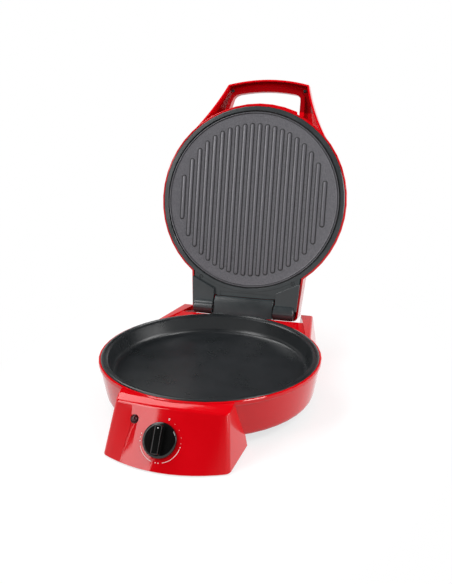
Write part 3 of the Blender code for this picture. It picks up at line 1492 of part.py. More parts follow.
def make_plate_screws():
    """Screws through the frame's ledge into the back of the upper plate."""
    screws = []
    seat = RING_LEDGE_START + RING_LEDGE_THICKNESS + FIT
    length = seat - PLATE_BACK + PLATE_SCREW_BITE
    for number, (x, y) in enumerate(plate_screw_places(), 1):
        screws.append(make_screw(f"plate_screw_{number}", length, (x, y, seat),
                                 (math.pi, 0, 0)))
    return screws


def make_frame_screws():
    """Screws through the tongue into the lid shell's bosses."""
    screws = []
    seat = FRAME_HEAD_SINK - FIT
    for side, (x, y) in zip(("left", "right"), frame_screw_places()):
        screws.append(make_screw(f"frame_screw_{side}", SCREW_LENGTH + FRAME_PAD_TOP - seat,
                                 (x, y, seat), cross=True))
    return screws


def make_hinge_cover(name, side):
    """Black cover with a barrel that carries the hinge pin."""
    top = -FIT
    plan = [HINGE_COVER_FRONT, HINGE_COVER_BACK,
            (HINGE_COVER_INNER[0], HINGE_COVER_BACK[1]), HINGE_COVER_INNER]
    outline = [(side * x, y) for x, y in plan]
    cover = prism(name, outline, -HINGE_COVER_DROP, top)
    chamfer(cover, HINGE_COVER_EDGE, 2)
    neck = KNUCKLE_RADIUS - KNUCKLE_ROUND
    shoulder = KNUCKLE_OUTER - KNUCKLE_ROUND
    barrel = lathe(name + "_barrel", [
        (0, KNUCKLE_INNER), (KNUCKLE_RADIUS - FIT, KNUCKLE_INNER),
        (KNUCKLE_RADIUS, KNUCKLE_INNER + FIT),
    ] + arc((neck, shoulder), KNUCKLE_ROUND, 0, 90, 2) + [(0, KNUCKLE_OUTER)], MEDIUM_STEPS,
                   (0, HINGE_BACK - KNUCKLE_SHIFT, LID_DROP), (0, side * math.pi / 2, 0))
    add(cover, barrel)
    return cut(cover, drum(name + "_bore", PIN_HOLE_RADIUS, 0, KNUCKLE_OUTER + WALL,
                           (0, HINGE_BACK, LID_DROP), (0, side * math.pi / 2, 0)))


def dome_profile(inset):
    """Lid's outer wall from the crown down to the shoulder, as radius, height."""
    points = []
    radius = SHELL_SHOULDER_RADIUS - inset
    rise = SHELL_HEIGHT - SHELL_SHOULDER_HEIGHT - inset
    for i in range(DOME_STEPS + 1):
        angle = math.pi / 2 * i / DOME_STEPS
        r = radius * math.sin(angle) ** (2 / DOME_POWER)
        z = rise * math.cos(angle) ** (2 / DOME_POWER)
        points.append((r, SHELL_SHOULDER_HEIGHT + z))
    points[0] = (0, points[0][1])
    points[-1] = (radius, SHELL_SHOULDER_HEIGHT)
    return points


def make_dome():
    start = SHELL_START
    lip = start + SHELL_LIP_HEIGHT
    return lathe("lid_shell", dome_profile(0) + [
        (SHELL_SIDE_RADIUS, lip + FIT * 3),
        (LIP_RADIUS - FIT * 3, lip),
        (LIP_RADIUS, lip - FIT * 3),
        (LIP_RADIUS, start + FIT * 2),
        (LIP_RADIUS - FIT * 2, start),
        (0, start),
    ])


def make_dome_room():
    """Hollow of the lid: mouth for the ring, shelf behind it, the dome."""
    shelf = RING_THICKNESS + FIT
    inner = SHELL_SIDE_RADIUS - WALL
    return lathe("dome_room", dome_profile(WALL) + [
        (inner, shelf + SHELL_SHELF_THICKNESS + WALL),
        (SHELL_SHELF_INNER, shelf + SHELL_SHELF_THICKNESS),
        (SHELL_SHELF_INNER, shelf),
        (SHELL_MOUTH_RADIUS, shelf),
        (SHELL_MOUTH_RADIUS, SHELL_START - OVERRUN),
        (0, SHELL_START - OVERRUN),
    ])


def tail_rings(inset, drop):
    """Foot and top outlines of the lid's tail, which carries the hinge."""
    rings = []
    for height, draft in ((SHELL_START - drop, 0), (None, TAIL_DRAFT)):
        root = TAIL_ROOT_HALF - inset - draft
        end = TAIL_END_HALF - inset - draft
        rear = TAIL_END_Y - inset
        root_z = height if height is not None else TAIL_ROOT_HEIGHT - inset
        end_z = height if height is not None else TAIL_END_HEIGHT - inset
        rings.append([(-root, TAIL_ROOT_Y, root_z), (root, TAIL_ROOT_Y, root_z),
                      (end, rear, end_z), (-end, rear, end_z)])
    return rings


def make_tail():
    tail = loft("tail_form", tail_rings(0, 0))
    middle = (TAIL_ROOT_Y + TAIL_END_Y) / 2
    high = TAIL_END_HEIGHT - WALL

    def is_round(point):
        return point.z > high and point.y > TAIL_ROOT_Y - FIT

    def is_rear(point):
        return point.y > middle
    chamfer_some(tail, TAIL_ROUND, lambda p: is_round(p) or is_rear(p), 4)
    return tail


def make_tail_room():
    room = loft("tail_room", tail_rings(WALL, OVERRUN))
    middle = (TAIL_ROOT_Y + TAIL_END_Y) / 2
    high = TAIL_END_HEIGHT - WALL * 2
    chamfer_some(room, TAIL_ROUND - WALL, lambda p: p.z > high or p.y > middle, 4)
    return room


def grip_under(v):
    """Depth of the handle's front rim at a distance from the lid's centre."""
    return GRIP_CORNER_RISE - math.tan(GRIP_UNDER_LEAN) * (GRIP_CORNER[1] - v)


def grip_top(v):
    """Depth of the handle's flat back at a distance from the lid's centre."""
    return GRIP_TOP_FLAT[1] + math.tan(GRIP_TOP_LEAN) * (v - GRIP_TOP_FLAT[0])


def outer_outline():
    """Right half of the handle's plan, from its root to its crown."""
    side = blend_curve(GRIP_ROOT, GRIP_WAIST, GRIP_CORNER, SIDE_STEPS)
    crown = []
    for i in range(1, CROWN_STEPS // 2 + 1):
        share = 1 - 2 * i / CROWN_STEPS
        crown.append((GRIP_CORNER[0] * share,
                      GRIP_CROWN - (GRIP_CROWN - GRIP_CORNER[1]) * share * share))
    return [GRIP_ANCHOR] + side + crown


def whole_outline(half):
    """Close a right half over the middle, and turn it to face -Y."""
    left = [(-x, v) for x, v in reversed(half[:-1])]
    return [(x, -v) for x, v in half + left]


def hole_crown(x):
    share = x / HOLE_CORNER[0]
    return HOLE_CROWN - (HOLE_CROWN - HOLE_CORNER[1]) * share * share


def hole_outline(grow):
    """Right half of the grip opening, from the shell to its crown."""
    rounded = HOLE_CORNER[0] * HOLE_ROUND_SHARE
    low = (HOLE_ROOT[0] + grow, HOLE_ROOT[1])
    start = (HOLE_CORNER[0] + grow, HOLE_CORNER[1] - (HOLE_CORNER[0] - rounded))
    corner = (HOLE_CORNER[0] + grow, HOLE_CORNER[1] + grow)
    end = (rounded, hole_crown(rounded) + grow)
    points = [low] + blend_curve(start, corner, end, 3)
    for i in range(1, CROWN_STEPS // 2 + 1):
        x = rounded * (1 - 2 * i / CROWN_STEPS)
        points.append((x, hole_crown(x) + grow))
    return points


def side_profile(lift, roof, far=GRIP_CROWN + OVERRUN):
    """Side view of the handle between its front rim and its back."""
    near = GRIP_TOP_START[0]
    under = [(-near, grip_under(near) + lift), (-far, grip_under(far) + lift)]
    top = [(-far, grip_top(far) - roof)]
    rise = blend_curve(GRIP_TOP_FLAT, GRIP_TOP_PULL, GRIP_TOP_START, GRIP_TOP_STEPS)
    top += [(-v, z - roof) for v, z in rise]
    return under + top


def make_handle():
    """Handle: a channel that is open to the front, round a grip opening."""
    tall = SHELL_HEIGHT + OVERRUN * 2
    wide = PAN_RADIUS
    outline = whole_outline(outer_outline())
    handle = keep(prism("handle_form", outline, -OVERRUN, tall),
                  side_prism("handle_sides", side_profile(0, 0), wide))
    inner = [(x, -v) for x, v in mirror_to_closed(offset_line(outer_outline(), GRIP_WALL))]
    channel = keep(prism("handle_channel", inner, -OVERRUN, tall),
                   side_prism("handle_channel_sides",
                              side_profile(-OVERRUN, GRIP_ROOF), wide))
    collar = keep(prism("grip_collar", whole_outline(hole_outline(GRIP_INNER_WALL)),
                        -OVERRUN, tall),
                  side_prism("grip_collar_sides",
                             side_profile(GRIP_INNER_LIFT, GRIP_INNER_ROOF, GRIP_CROWN),
                             wide - WALL))
    cut(handle, channel)
    add(handle, collar)
    cut(handle, prism("grip_hole", whole_outline(hole_outline(0)), -OVERRUN * 2, tall + OVERRUN))
    return handle


def mirror_to_closed(half):
    left = [(-x, v) for x, v in reversed(half[:-1])]
    return half + left


def cap_outline(shrink):
    """Plan of the handle's top cover, in the lid's X and -Y."""
    outer = []
    inner = []
    half = CAP_HALF - shrink
    for i in range(CAP_STEPS + 1):
        x = half * (1 - 2 * i / CAP_STEPS)
        share = x / GRIP_CORNER[0]
        crown = GRIP_CROWN - (GRIP_CROWN - GRIP_CORNER[1]) * share * share
        outer.append((x, -(crown - CAP_MARGIN - shrink)))
        inner.insert(0, (x, -(hole_crown(x) + CAP_MARGIN + shrink)))
    return outer + inner


def grip_screw_place(side, depth):
    """Place under the handle's back, at a depth along the back's normal."""
    lean = -GRIP_TOP_LEAN
    normal = turned_vector((0, 0, 1), (lean, 0, 0))
    top = Vector((side * GRIP_SCREW_X, -GRIP_SCREW_V, grip_top(GRIP_SCREW_V)))
    return top - normal * depth, (lean, 0, 0)


def make_lid_shell():
    shell = make_dome()
    guard = lathe("guard_lip", [
        (GUARD_ROOT, GUARD_START),
        (GUARD_RADIUS - FIT * 3, GUARD_START),
        (GUARD_RADIUS, GUARD_START + FIT * 3),
        (GUARD_RADIUS, GUARD_START + GUARD_THICKNESS - FIT * 3),
        (GUARD_RADIUS - FIT * 3, GUARD_START + GUARD_THICKNESS),
        (GUARD_ROOT, GUARD_START + GUARD_THICKNESS),
    ])
    keep(guard, block("guard_span", (GUARD_HALF * 2, PAN_RADIUS, SHELL_HEIGHT * 2),
                      (0, -GUARD_RADIUS, 0)))
    add(shell, make_tail(), make_handle(), guard)
    cut(shell, make_dome_room(), make_tail_room())
    cut(shell, block("hinge_notch", (NOTCH_HALF * 2, OVERRUN * 2, (NOTCH_HEIGHT + OVERRUN)),
                     (0, TAIL_END_Y, (NOTCH_HEIGHT - OVERRUN) / 2)))
    cut(shell, drum("knuckle_room", KNUCKLE_RADIUS + KNUCKLE_ROOM, -KNUCKLE_OUTER - KNUCKLE_ROOM,
                    KNUCKLE_OUTER + KNUCKLE_ROOM,
                    (0, HINGE_BACK - KNUCKLE_SHIFT, LID_DROP),
                    (0, math.pi / 2, 0), MEDIUM_STEPS))
    for number, (x, y) in enumerate(frame_screw_places(), 1):
        add(shell, drum(f"tail_boss_{number}", TAIL_BOSS_RADIUS, FRAME_PAD_TOP + FIT,
                        TAIL_END_HEIGHT + WALL, (x, y, 0)))
    for number, (x, y) in enumerate(frame_screw_places(), 1):
        cut(shell, drum(f"tail_boss_hole_{number}", SCREW_HOLE_RADIUS, FRAME_PAD_TOP - WALL,
                        FRAME_PAD_TOP + SCREW_LENGTH + FIT, (x, y, 0), steps=HOLE_STEPS))
    pocket = slanted_prism("cap_pocket", cap_outline(0),
                           lambda y: grip_top(-y) - CAP_DEPTH - FIT,
                           lambda y: grip_top(-y) + OVERRUN)
    cut(shell, pocket)
    for number, side in enumerate((-1, 1), 1):
        place, lean = grip_screw_place(side, GRIP_ROOF)
        cut(shell, drum(f"grip_screw_hole_{number}", SCREW_HOLE_RADIUS, -WALL, WALL * 2,
                        place, lean, steps=HOLE_STEPS),
            drum(f"grip_head_room_{number}", SCREW_HEAD_RADIUS + FIT * 2, -OVERRUN, 0,
                 place, lean, steps=SMALL_STEPS))
    return shell


def make_handle_cap():
    """Cover let into the back of the grip."""
    cap = slanted_prism("handle_top_cover", cap_outline(COVER_GAP),
                        lambda y: grip_top(-y) - CAP_DEPTH,
                        lambda y: grip_top(-y))
    for number, side in enumerate((-1, 1), 1):
        place, lean = grip_screw_place(side, CAP_DEPTH)
        cut(cap, drum(f"cap_hole_{number}", SCREW_HOLE_RADIUS, -WALL, GRIP_SCREW_BITE + FIT,
                      place, lean, steps=HOLE_STEPS))
    return cap


def make_grip_screws():
    """Screws from the handle's channel up into its cover."""
    screws = []
    slant = math.cos(GRIP_TOP_LEAN)
    depth = GRIP_ROOF * slant + FIT
    for name, side in (("left", -1), ("right", 1)):
        place, lean = grip_screw_place(side, depth)
        length = depth - CAP_DEPTH * slant + GRIP_SCREW_BITE - FIT
        screws.append(make_screw(f"handle_screw_{name}", length, tuple(place), lean, True))
    return screws


def make_cutout():
    """Thermal cut-out on the back of the upper reflector."""
    base = PLATE_BACK + POST_LENGTH + FIT + SHEET + FIT
    return lathe("thermal_cutout", [
        (0, base + CUTOUT_HEIGHT),
        (CUTOUT_RADIUS - FIT * 3, base + CUTOUT_HEIGHT),
        (CUTOUT_RADIUS, base + CUTOUT_HEIGHT - FIT * 3),
        (CUTOUT_RADIUS, base),
        (0, base),
    ], SMALL_STEPS, (0, -CUTOUT_OFFSET, 0))


def front_reach():
    """Distance of the knob's lowest edge in front of the pan's axis."""
    normal = face_point(KNOB_X, KNOB_HEIGHT)[1]
    down = Vector((0, -normal.z, normal.y)).normalized()
    tip = along_face(KNOB_X, KNOB_HEIGHT, KNOB_BAR_TOP) + down * (KNOB_TOP_RADIUS - KNOB_EDGE * 2)
    return tip.y


def back_reach():
    """Distance of the open handle's edge behind the pan's axis."""
    y = -GRIP_CROWN - HINGE_BACK
    z = grip_top(GRIP_CROWN) - LID_DROP
    return HINGE_BACK + y * math.cos(-OPEN_ANGLE) - z * math.sin(-OPEN_ANGLE)


def build():
    """Build all bodies and hang their parts on the joints."""
    global PARTS, CUTTERS
    clear_scene()
    PARTS = new_collection("electric_pizza_maker")
    CUTTERS = new_collection("cutters")
    red = make_material("red_gloss_plastic", (0.62, 0.004, 0.010), 0.18)
    black = make_material("black_plastic", (0.030, 0.034, 0.037), 0.42)
    gloss = make_material("black_gloss_plastic", (0.012, 0.012, 0.013), 0.15)
    coated = make_material("dark_coated_metal", (0.025, 0.029, 0.033), 0.45, 0.5)
    grey = make_material("grey_coated_metal", (0.165, 0.158, 0.170), 0.42, 0.5)
    steel = make_material("steel", (0.55, 0.55, 0.56), 0.30, 1.0)
    sheet = make_material("sheet_steel", (0.62, 0.62, 0.63), 0.38, 1.0)
    sheath = make_material("element_sheath", (0.14, 0.14, 0.13), 0.50, 1.0)
    rubber = make_material("rubber", (0.020, 0.020, 0.020), 0.85)
    lens_red = make_material("lens", (0.12, 0.004, 0.006), 0.12)
    ceramic = make_material("white_ceramic", (0.78, 0.76, 0.72), 0.55)

    middle = -(front_reach() + back_reach()) / 2
    base = add_empty("base", (0, middle, 0))
    hinge = add_empty("lid", (0, middle + HINGE_BACK, RIM_HEIGHT - HINGE_DROP),
                      (-OPEN_ANGLE, 0, 0))
    spot = along_face(KNOB_X, KNOB_HEIGHT, 0)
    dial = add_empty("dial", (spot.x, spot.y + middle, spot.z), face_turn())
    closed = add_empty("lid_plan", (0, -HINGE_BACK, -LID_DROP), parent=hinge)

    under = RIM_HEIGHT - PAN_DEPTH - PAN_PLATE
    lens, lamp = make_lamp()
    adopt(base, red, make_base_housing())
    adopt(base, coated, make_lower_plate())
    adopt(base, sheath, make_element("lower_heating_element", under, -1, -1))
    adopt(base, sheet, make_reflector("lower_reflector", under, -1, -1))
    adopt(base, black, make_belly_cover(), make_front_cover(), make_rear_cover(),
          make_hinge_block(), make_gland())
    for name, x, y in (("front_left", -FRONT_FOOT_X, FRONT_FOOT_Y),
                       ("front_right", FRONT_FOOT_X, FRONT_FOOT_Y),
                       ("rear_left", -BACK_FOOT_X, BACK_FOOT_Y),
                       ("rear_right", BACK_FOOT_X, BACK_FOOT_Y)):
        adopt(base, rubber, make_foot("foot_" + name, x, y))
    adopt(base, steel, *make_cover_screws(), *make_ties("lower", under, -1),
          *make_bracket_screws(), make_pin())
    adopt(base, ceramic, make_terminal_block(), make_thermostat())
    adopt(base, lens_red, lens)
    adopt(base, ceramic, lamp)

    adopt(dial, gloss, make_knob())
    adopt(dial, steel, make_shaft())

    adopt(closed, red, make_lid_shell(), make_handle_cap())
    adopt(closed, black, make_lid_frame(), make_hinge_cover("hinge_cover_left", -1),
          make_hinge_cover("hinge_cover_right", 1))
    adopt(closed, grey, make_upper_plate())
    adopt(closed, sheath, make_element("upper_heating_element", PLATE_BACK, 1, 1))
    adopt(closed, sheet, make_reflector("upper_reflector", PLATE_BACK, 1, 1))
    adopt(closed, ceramic, make_cutout())
    adopt(closed, steel, *make_ties("upper", PLATE_BACK, 1), *make_plate_screws(),
          *make_frame_screws(), *make_grip_screws())


build()
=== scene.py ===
"""Looks of a countertop pizza maker with a hinged lid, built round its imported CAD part. Metres, +Z up."""

import json
import math

import bmesh
import bpy
from mathutils import Matrix, Quaternion, Vector
from mathutils.bvhtree import BVHTree


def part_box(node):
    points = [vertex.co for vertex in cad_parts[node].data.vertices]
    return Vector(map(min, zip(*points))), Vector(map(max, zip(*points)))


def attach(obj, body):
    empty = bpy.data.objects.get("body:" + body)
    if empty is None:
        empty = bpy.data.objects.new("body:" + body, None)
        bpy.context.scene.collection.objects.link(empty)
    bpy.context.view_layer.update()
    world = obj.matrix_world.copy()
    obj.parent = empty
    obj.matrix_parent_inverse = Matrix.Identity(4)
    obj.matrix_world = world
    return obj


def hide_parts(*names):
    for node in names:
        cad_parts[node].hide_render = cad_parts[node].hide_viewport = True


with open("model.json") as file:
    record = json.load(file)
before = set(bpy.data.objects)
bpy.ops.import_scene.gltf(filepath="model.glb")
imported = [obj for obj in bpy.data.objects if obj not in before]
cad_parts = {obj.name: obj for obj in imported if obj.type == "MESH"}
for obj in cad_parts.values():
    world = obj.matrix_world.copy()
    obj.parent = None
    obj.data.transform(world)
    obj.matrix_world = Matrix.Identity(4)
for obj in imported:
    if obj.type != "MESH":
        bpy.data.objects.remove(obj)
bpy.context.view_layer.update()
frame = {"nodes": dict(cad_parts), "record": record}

# The camera stands where the photograph was taken from, seen from the middle of the pan's rim
IMAGE_LONG_SIDE = 584
SENSOR = 36.0
FOCAL_PIXELS = 665.87
CAMERA_AZIMUTH = math.radians(15.97)
CAMERA_ELEVATION = math.radians(18.12)
CAMERA_BACK = 0.984
CAMERA_RIGHT = 0.023
CAMERA_UP = 0.087

# The pan's rim, from the frame
PAN_LOW, PAN_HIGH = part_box("lower_plate")
PAN_RIM_HEIGHT = 0.0740
PAN_CENTRE = Vector(((PAN_LOW.x + PAN_HIGH.x) / 2, (PAN_LOW.y + PAN_HIGH.y) / 2, PAN_RIM_HEIGHT))

# Stage
FLOOR_HALF = 8.0
FLOOR_ALBEDO = 0.36
FLOOR_ROUGHNESS = 0.9
FLOOR_SHEEN = 0.1
FLOOR_GLOW = 0.66
FLOOR_FADE_START = 0.33
FLOOR_FADE_END = 0.56
FLOOR_SIDE_SHARE = 1.5
ROOM_LIGHT = 0.42
CEILING_LIGHT = 0.03
CEILING_START = 0.12
CEILING_FULL = 0.42

# Lamps, each with its place, target, size, power in watts and roll about its own axis
LAMPS = {
    "key_light": ((-1.30, -1.45, 1.72), (0, -0.1, 0.10), (0.90, 0.93), 20, 0),
    "window_light": ((-1.42, -1.90, 1.17), (0, -0.28, 0.05), (0.84, 0.59), 8, math.radians(25.5)),
    "top_light": ((-1.22, 0.45, 1.90), (0, 0, 0.1), (1.2, 1.3), 22, 0),
    "spark_light": ((1.32, -0.52, 1.62), (0, -0.1, 0.1), (0.55, 0.55), 12, 0),
    "fill_light": ((2.00, 0.00, 0.65), (0, -0.1, 0.1), (1.2, 1.0), 22, 0),
}

# Sockets of the node that mixes two colours, which share their names with its other kinds
MIX_FIRST = 6
MIX_SECOND = 7
MIX_RESULT = 2

# Blotches of the even surfaces, to the metre
BLOTCHES = 25.0

# Edges of moulded and machined pieces
EDGE_ANGLE = math.radians(38)
CREASE_ANGLE = math.radians(34)
FLAT_ANGLE = math.radians(0.4)
WELD = 0.00001
NORMALS_WEIGHT = 80

# Parts whose edges are softened, with the width in metres
SOFT_EDGES = {
    "base_housing": 0.0005,
    "lid_frame": 0.0004,
    "hinge_cover_left": 0.0009,
    "hinge_cover_right": 0.0009,
    "hinge_block": 0.0009,
    "knob": 0.0004,
    "handle_top_cover": 0.0003,
}

# The open lid, from its hinge
HINGE_LOW, HINGE_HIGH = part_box("hinge_pin")
HINGE = (HINGE_LOW + HINGE_HIGH) / 2
LID_LEAN = math.radians(13.3)
PLATE_RISE = 0.1922
PLATE_SETBACK = 0.0055

# Channel under the grip, whose floor gets painted shade: its rim leans back from the corner by an angle
GRIP_CORNER_UP = 0.2106
GRIP_CORNER_DEPTH = 0.0710
GRIP_UNDER_LEAN = math.radians(34.06)
GRIP_START = 0.1600
GRIP_SHADE_START = 0.0020
GRIP_SHADE_END = 0.0090
GRIP_SHADE_SHARE = 0.45
GRIP_FACING_START = 0.15
GRIP_FACING_END = 0.45

# Ribbed plate, with depths measured into the lid from its rim plane; a slope leads from the groove in
PLATE_RADIUS = 0.1519
PLATE_BACK = 0.0052
PLATE_SKIRT_WIDTH = 0.0018
PLATE_BEAD_WIDTH = 0.0015
PLATE_GROOVE_WIDTH = 0.0013
PLATE_GROOVE = 0.0034
PLATE_BEAD_TOP = 0.0002
PLATE_SLOPE_TOP = 0.0012
PLATE_SLOPE_WIDTH = 0.0030
PLATE_FIELD = 0.0018
PLATE_EDGE = 0.0004
PLATE_STEPS = 160
RIB_COUNT = 20
RIB_PITCH = 0.0131
RIB_WIDTH = 0.0056
RIB_TOP = -0.0001
RIB_CIRCLE = 0.1300
RIB_EDGE = 0.0011
RIB_EDGE_ROUND = 0.3
RIB_END_STEPS = 10
# Painted shade round the foot of each rib and in the gap at the plate's edge, and a painted highlight on
# the ribs' tops
RIB_SHADOW_WIDTH = 0.0016
RIB_SHADOW_REACH = 1.4
RIB_SHADOW_SHARE = 0.04
RIB_LIGHT_SHARE = 1.12
GAP_SHADOW_SHARE = 0.05
COATING_METAL = 0.15

# Dial, seen along its shaft
SHAFT_LOW, SHAFT_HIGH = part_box("thermostat_shaft")
DIAL_LEAN = math.radians(33.69)
DIAL_RADIUS = 0.0270
DIAL_LINE = 0.00055
DIAL_DOT = 0.00062
DIAL_FAINT_DOT = 0.00045
DIAL_ARCS = ((105, 165), (195, 250))
ARC_STEP = 3
DIAL_DOTS = (100, 175, 183, 262, 272, 282)
DIAL_FAINT_DOTS = (35, 55, 75, 90)
DIAL_ZERO = 15
ZERO_HALF_WIDTH = 0.0010
ZERO_HALF_HEIGHT = 0.0015
ZERO_LINE = 0.00044
PRINT_LIFT = 0.00006
PRINT_REACH = 0.04
DOT_STEPS = 14
POINTER_DOT = 0.0007
POINTER_DOT_OUT = 0.0142

# Screws that are darker than the record's finish
DARK_SCREWS = ("frame_screw_left", "frame_screw_right", "handle_screw_left", "handle_screw_right")


def new_material(name):
    """An empty node material and its Principled shader."""
    made = bpy.data.materials.new(name)
    made.use_nodes = True
    return made, made.node_tree, made.node_tree.nodes["Principled BSDF"]


def add_node(tree, kind, sockets=None, **settings):
    """A node of one kind with its settings, and values for its sockets by name or number."""
    made = tree.nodes.new(kind)
    for key, value in settings.items():
        setattr(made, key, value)
    for key, value in (sockets or {}).items():
        made.inputs[key].default_value = value
    return made


def place_on_object(tree):
    """Coordinates that stay with the surface, in metres."""
    return add_node(tree, "ShaderNodeTexCoord").outputs["Object"]


def distance_out(tree, stretch):
    """Distance from the object's middle, with each axis stretched by a share."""
    scaled = add_node(tree, "ShaderNodeMapping", {"Scale": stretch})
    tree.links.new(place_on_object(tree), scaled.inputs["Vector"])
    length = add_node(tree, "ShaderNodeVectorMath", operation="LENGTH")
    tree.links.new(scaled.outputs["Vector"], length.inputs[0])
    return length.outputs["Value"]


def noise(tree, scale, detail=4.0, roughness=0.5):
    """Noise with a number of blotches to the metre."""
    texture = add_node(
        tree, "ShaderNodeTexNoise", {"Scale": scale, "Detail": detail, "Roughness": roughness}
    )
    tree.links.new(place_on_object(tree), texture.inputs["Vector"])
    return texture.outputs["Fac"]


def spread(tree, value, low, high, start=0.3, end=0.7, ease="LINEAR"):
    """A value from start to end, carried to low to high."""
    ends = {"From Min": start, "From Max": end, "To Min": low, "To Max": high}
    made = add_node(tree, "ShaderNodeMapRange", ends, interpolation_type=ease)
    tree.links.new(value, made.inputs["Value"])
    return made.outputs["Result"]


def smooth_step(tree, value, low, high, start, end):
    """The same as spread, easing in and out."""
    return spread(tree, value, low, high, start, end, "SMOOTHSTEP")


def blend_colours(tree, share, first, second):
    """A colour between two, by a share."""
    made = add_node(tree, "ShaderNodeMix", {MIX_FIRST: first, MIX_SECOND: second}, data_type="RGBA")
    tree.links.new(share, made.inputs["Factor"])
    return made.outputs[MIX_RESULT]


def bump(tree, height, distance):
    """A bumped normal, its height in metres."""
    made = add_node(tree, "ShaderNodeBump", {"Strength": 1.0, "Distance": distance})
    tree.links.new(height, made.inputs["Height"])
    return made.outputs["Normal"]


def calc(tree, operation, *values):
    """One step of arithmetic on sockets or numbers."""
    made = add_node(tree, "ShaderNodeMath", operation=operation)
    for number, value in enumerate(values):
        if isinstance(value, (int, float)):
            made.inputs[number].default_value = value
        else:
            tree.links.new(value, made.inputs[number])
    return made.outputs[0]


def shade(tree, shader, colour, light):
    """Gives a shader its colour, dimmed by painted shade or brightened by a painted highlight, by a share.
    """
    shaded = add_node(tree, "ShaderNodeVectorMath", operation="SCALE")
    tree.links.new(colour, shaded.inputs[0])
    tree.links.new(light, shaded.inputs["Scale"])
    tree.links.new(shaded.outputs[0], shader.inputs["Base Color"])


def sheen_of(name, colours, roughness, metal=0.0, grain=(900.0, 0.000008), level=0.5):
    """A surface between two colours, with its roughness between two values and a fine grain."""
    made, tree, shader = new_material(name)
    soft = noise(tree, BLOTCHES)
    fine = noise(tree, grain[0], detail=2.0)
    tree.links.new(blend_colours(tree, spread(tree, soft, 0, 1), *colours), shader.inputs["Base Color"])
    tree.links.new(spread(tree, soft, *roughness), shader.inputs["Roughness"])
    tree.links.new(bump(tree, fine, grain[1]), shader.inputs["Normal"])
    shader.inputs["Metallic"].default_value = metal
    shader.inputs["Specular IOR Level"].default_value = level
    return made


def red_gloss():
    """Glossy moulded red plastic."""
    return sheen_of(
        "red_gloss_plastic",
        ((0.600, 0.0004, 0.0040, 1), (0.640, 0.0006, 0.0050, 1)),
        (0.06, 0.10),
        grain=(300.0, 0.000001),
        level=0.40,
    )


def red_lid():
    """The same red on the lid, with painted shade on the floor of the grip's channel."""
    made = red_gloss()
    made.name = "red_gloss_lid_painted_shade"
    tree = made.node_tree
    shader = tree.nodes["Principled BSDF"]
    colour = shader.inputs["Base Color"].links[0].from_socket
    coordinates = add_node(tree, "ShaderNodeTexCoord")
    inverse = lid_matrix().inverted()
    parts = []
    for output, kind in (("Object", "POINT"), ("Normal", "VECTOR")):
        turned = add_node(tree, "ShaderNodeMapping", vector_type=kind)
        turned.inputs["Rotation"].default_value = inverse.to_euler()
        if kind == "POINT":
            turned.inputs["Location"].default_value = inverse.translation
        tree.links.new(coordinates.outputs[output], turned.inputs["Vector"])
        split = add_node(tree, "ShaderNodeSeparateXYZ")
        tree.links.new(turned.outputs["Vector"], split.inputs[0])
        parts.append(split)
    place, normal = parts
    # Painted shade: the red darkens deep in the channel, on faces turned out of the lid, past the grip's
    # start
    rim = calc(tree, "SUBTRACT", place.outputs["Y"], GRIP_CORNER_UP)
    rim = calc(tree, "MULTIPLY_ADD", rim, math.tan(GRIP_UNDER_LEAN), GRIP_CORNER_DEPTH)
    inside = calc(tree, "SUBTRACT", calc(tree, "MULTIPLY", place.outputs["Z"], -1), rim)
    depth = spread(tree, inside, 0, 1, GRIP_SHADE_START, GRIP_SHADE_END)
    facing = spread(tree, normal.outputs["Z"], 0, 1, GRIP_FACING_START, GRIP_FACING_END)
    beyond = spread(tree, place.outputs["Y"], 0, 1, GRIP_START - GRIP_SHADE_START, GRIP_START)
    grip_painted_shade = calc(tree, "MULTIPLY", calc(tree, "MULTIPLY", depth, facing), beyond)
    light = calc(tree, "SUBTRACT", 1, calc(tree, "MULTIPLY", grip_painted_shade, 1 - GRIP_SHADE_SHARE))
    shade(tree, shader, colour, light)
    return made


def black_plastic():
    """Satin black plastic of the lid's frame, the hinge covers and the covers beneath."""
    return sheen_of(
        "black_plastic", ((0.026, 0.031, 0.033, 1), (0.038, 0.045, 0.048, 1)), (0.19, 0.27)
    )


def black_gloss():
    """Glossy black plastic of the dial."""
    return sheen_of(
        "black_gloss_plastic", ((0.003, 0.003, 0.003, 1), (0.005, 0.005, 0.005, 1)), (0.07, 0.11)
    )


def dark_coating():
    """Dark non-stick coating of the pan."""
    return sheen_of(
        "dark_coated_metal", ((0.010, 0.012, 0.013, 1), (0.016, 0.018, 0.020, 1)), (0.26, 0.34)
    )


def rib_distance(tree):
    """Distance in the plate's plane to the outline of the nearest rib, below zero on the rib."""
    split = add_node(tree, "ShaderNodeSeparateXYZ")
    tree.links.new(place_on_object(tree), split.inputs[0])
    side = calc(tree, "ABSOLUTE", split.outputs["X"])
    number = calc(tree, "FLOOR", calc(tree, "DIVIDE", side, RIB_PITCH))
    middle = calc(tree, "MULTIPLY", calc(tree, "ADD", number, 0.5), RIB_PITCH)
    middle = calc(tree, "MINIMUM", middle, (RIB_COUNT - 1) / 2 * RIB_PITCH)
    across = calc(tree, "SUBTRACT", side, middle)
    reach = calc(tree, "SUBTRACT", RIB_CIRCLE ** 2, calc(tree, "POWER", middle, 2))
    reach = calc(tree, "SUBTRACT", calc(tree, "SQRT", reach), RIB_WIDTH / 2)
    beyond = calc(tree, "SUBTRACT", calc(tree, "ABSOLUTE", split.outputs["Y"]), reach)
    beyond = calc(tree, "MAXIMUM", beyond, 0)
    square = calc(tree, "ADD", calc(tree, "POWER", across, 2), calc(tree, "POWER", beyond, 2))
    return calc(tree, "SUBTRACT", calc(tree, "SQRT", square), RIB_WIDTH / 2)


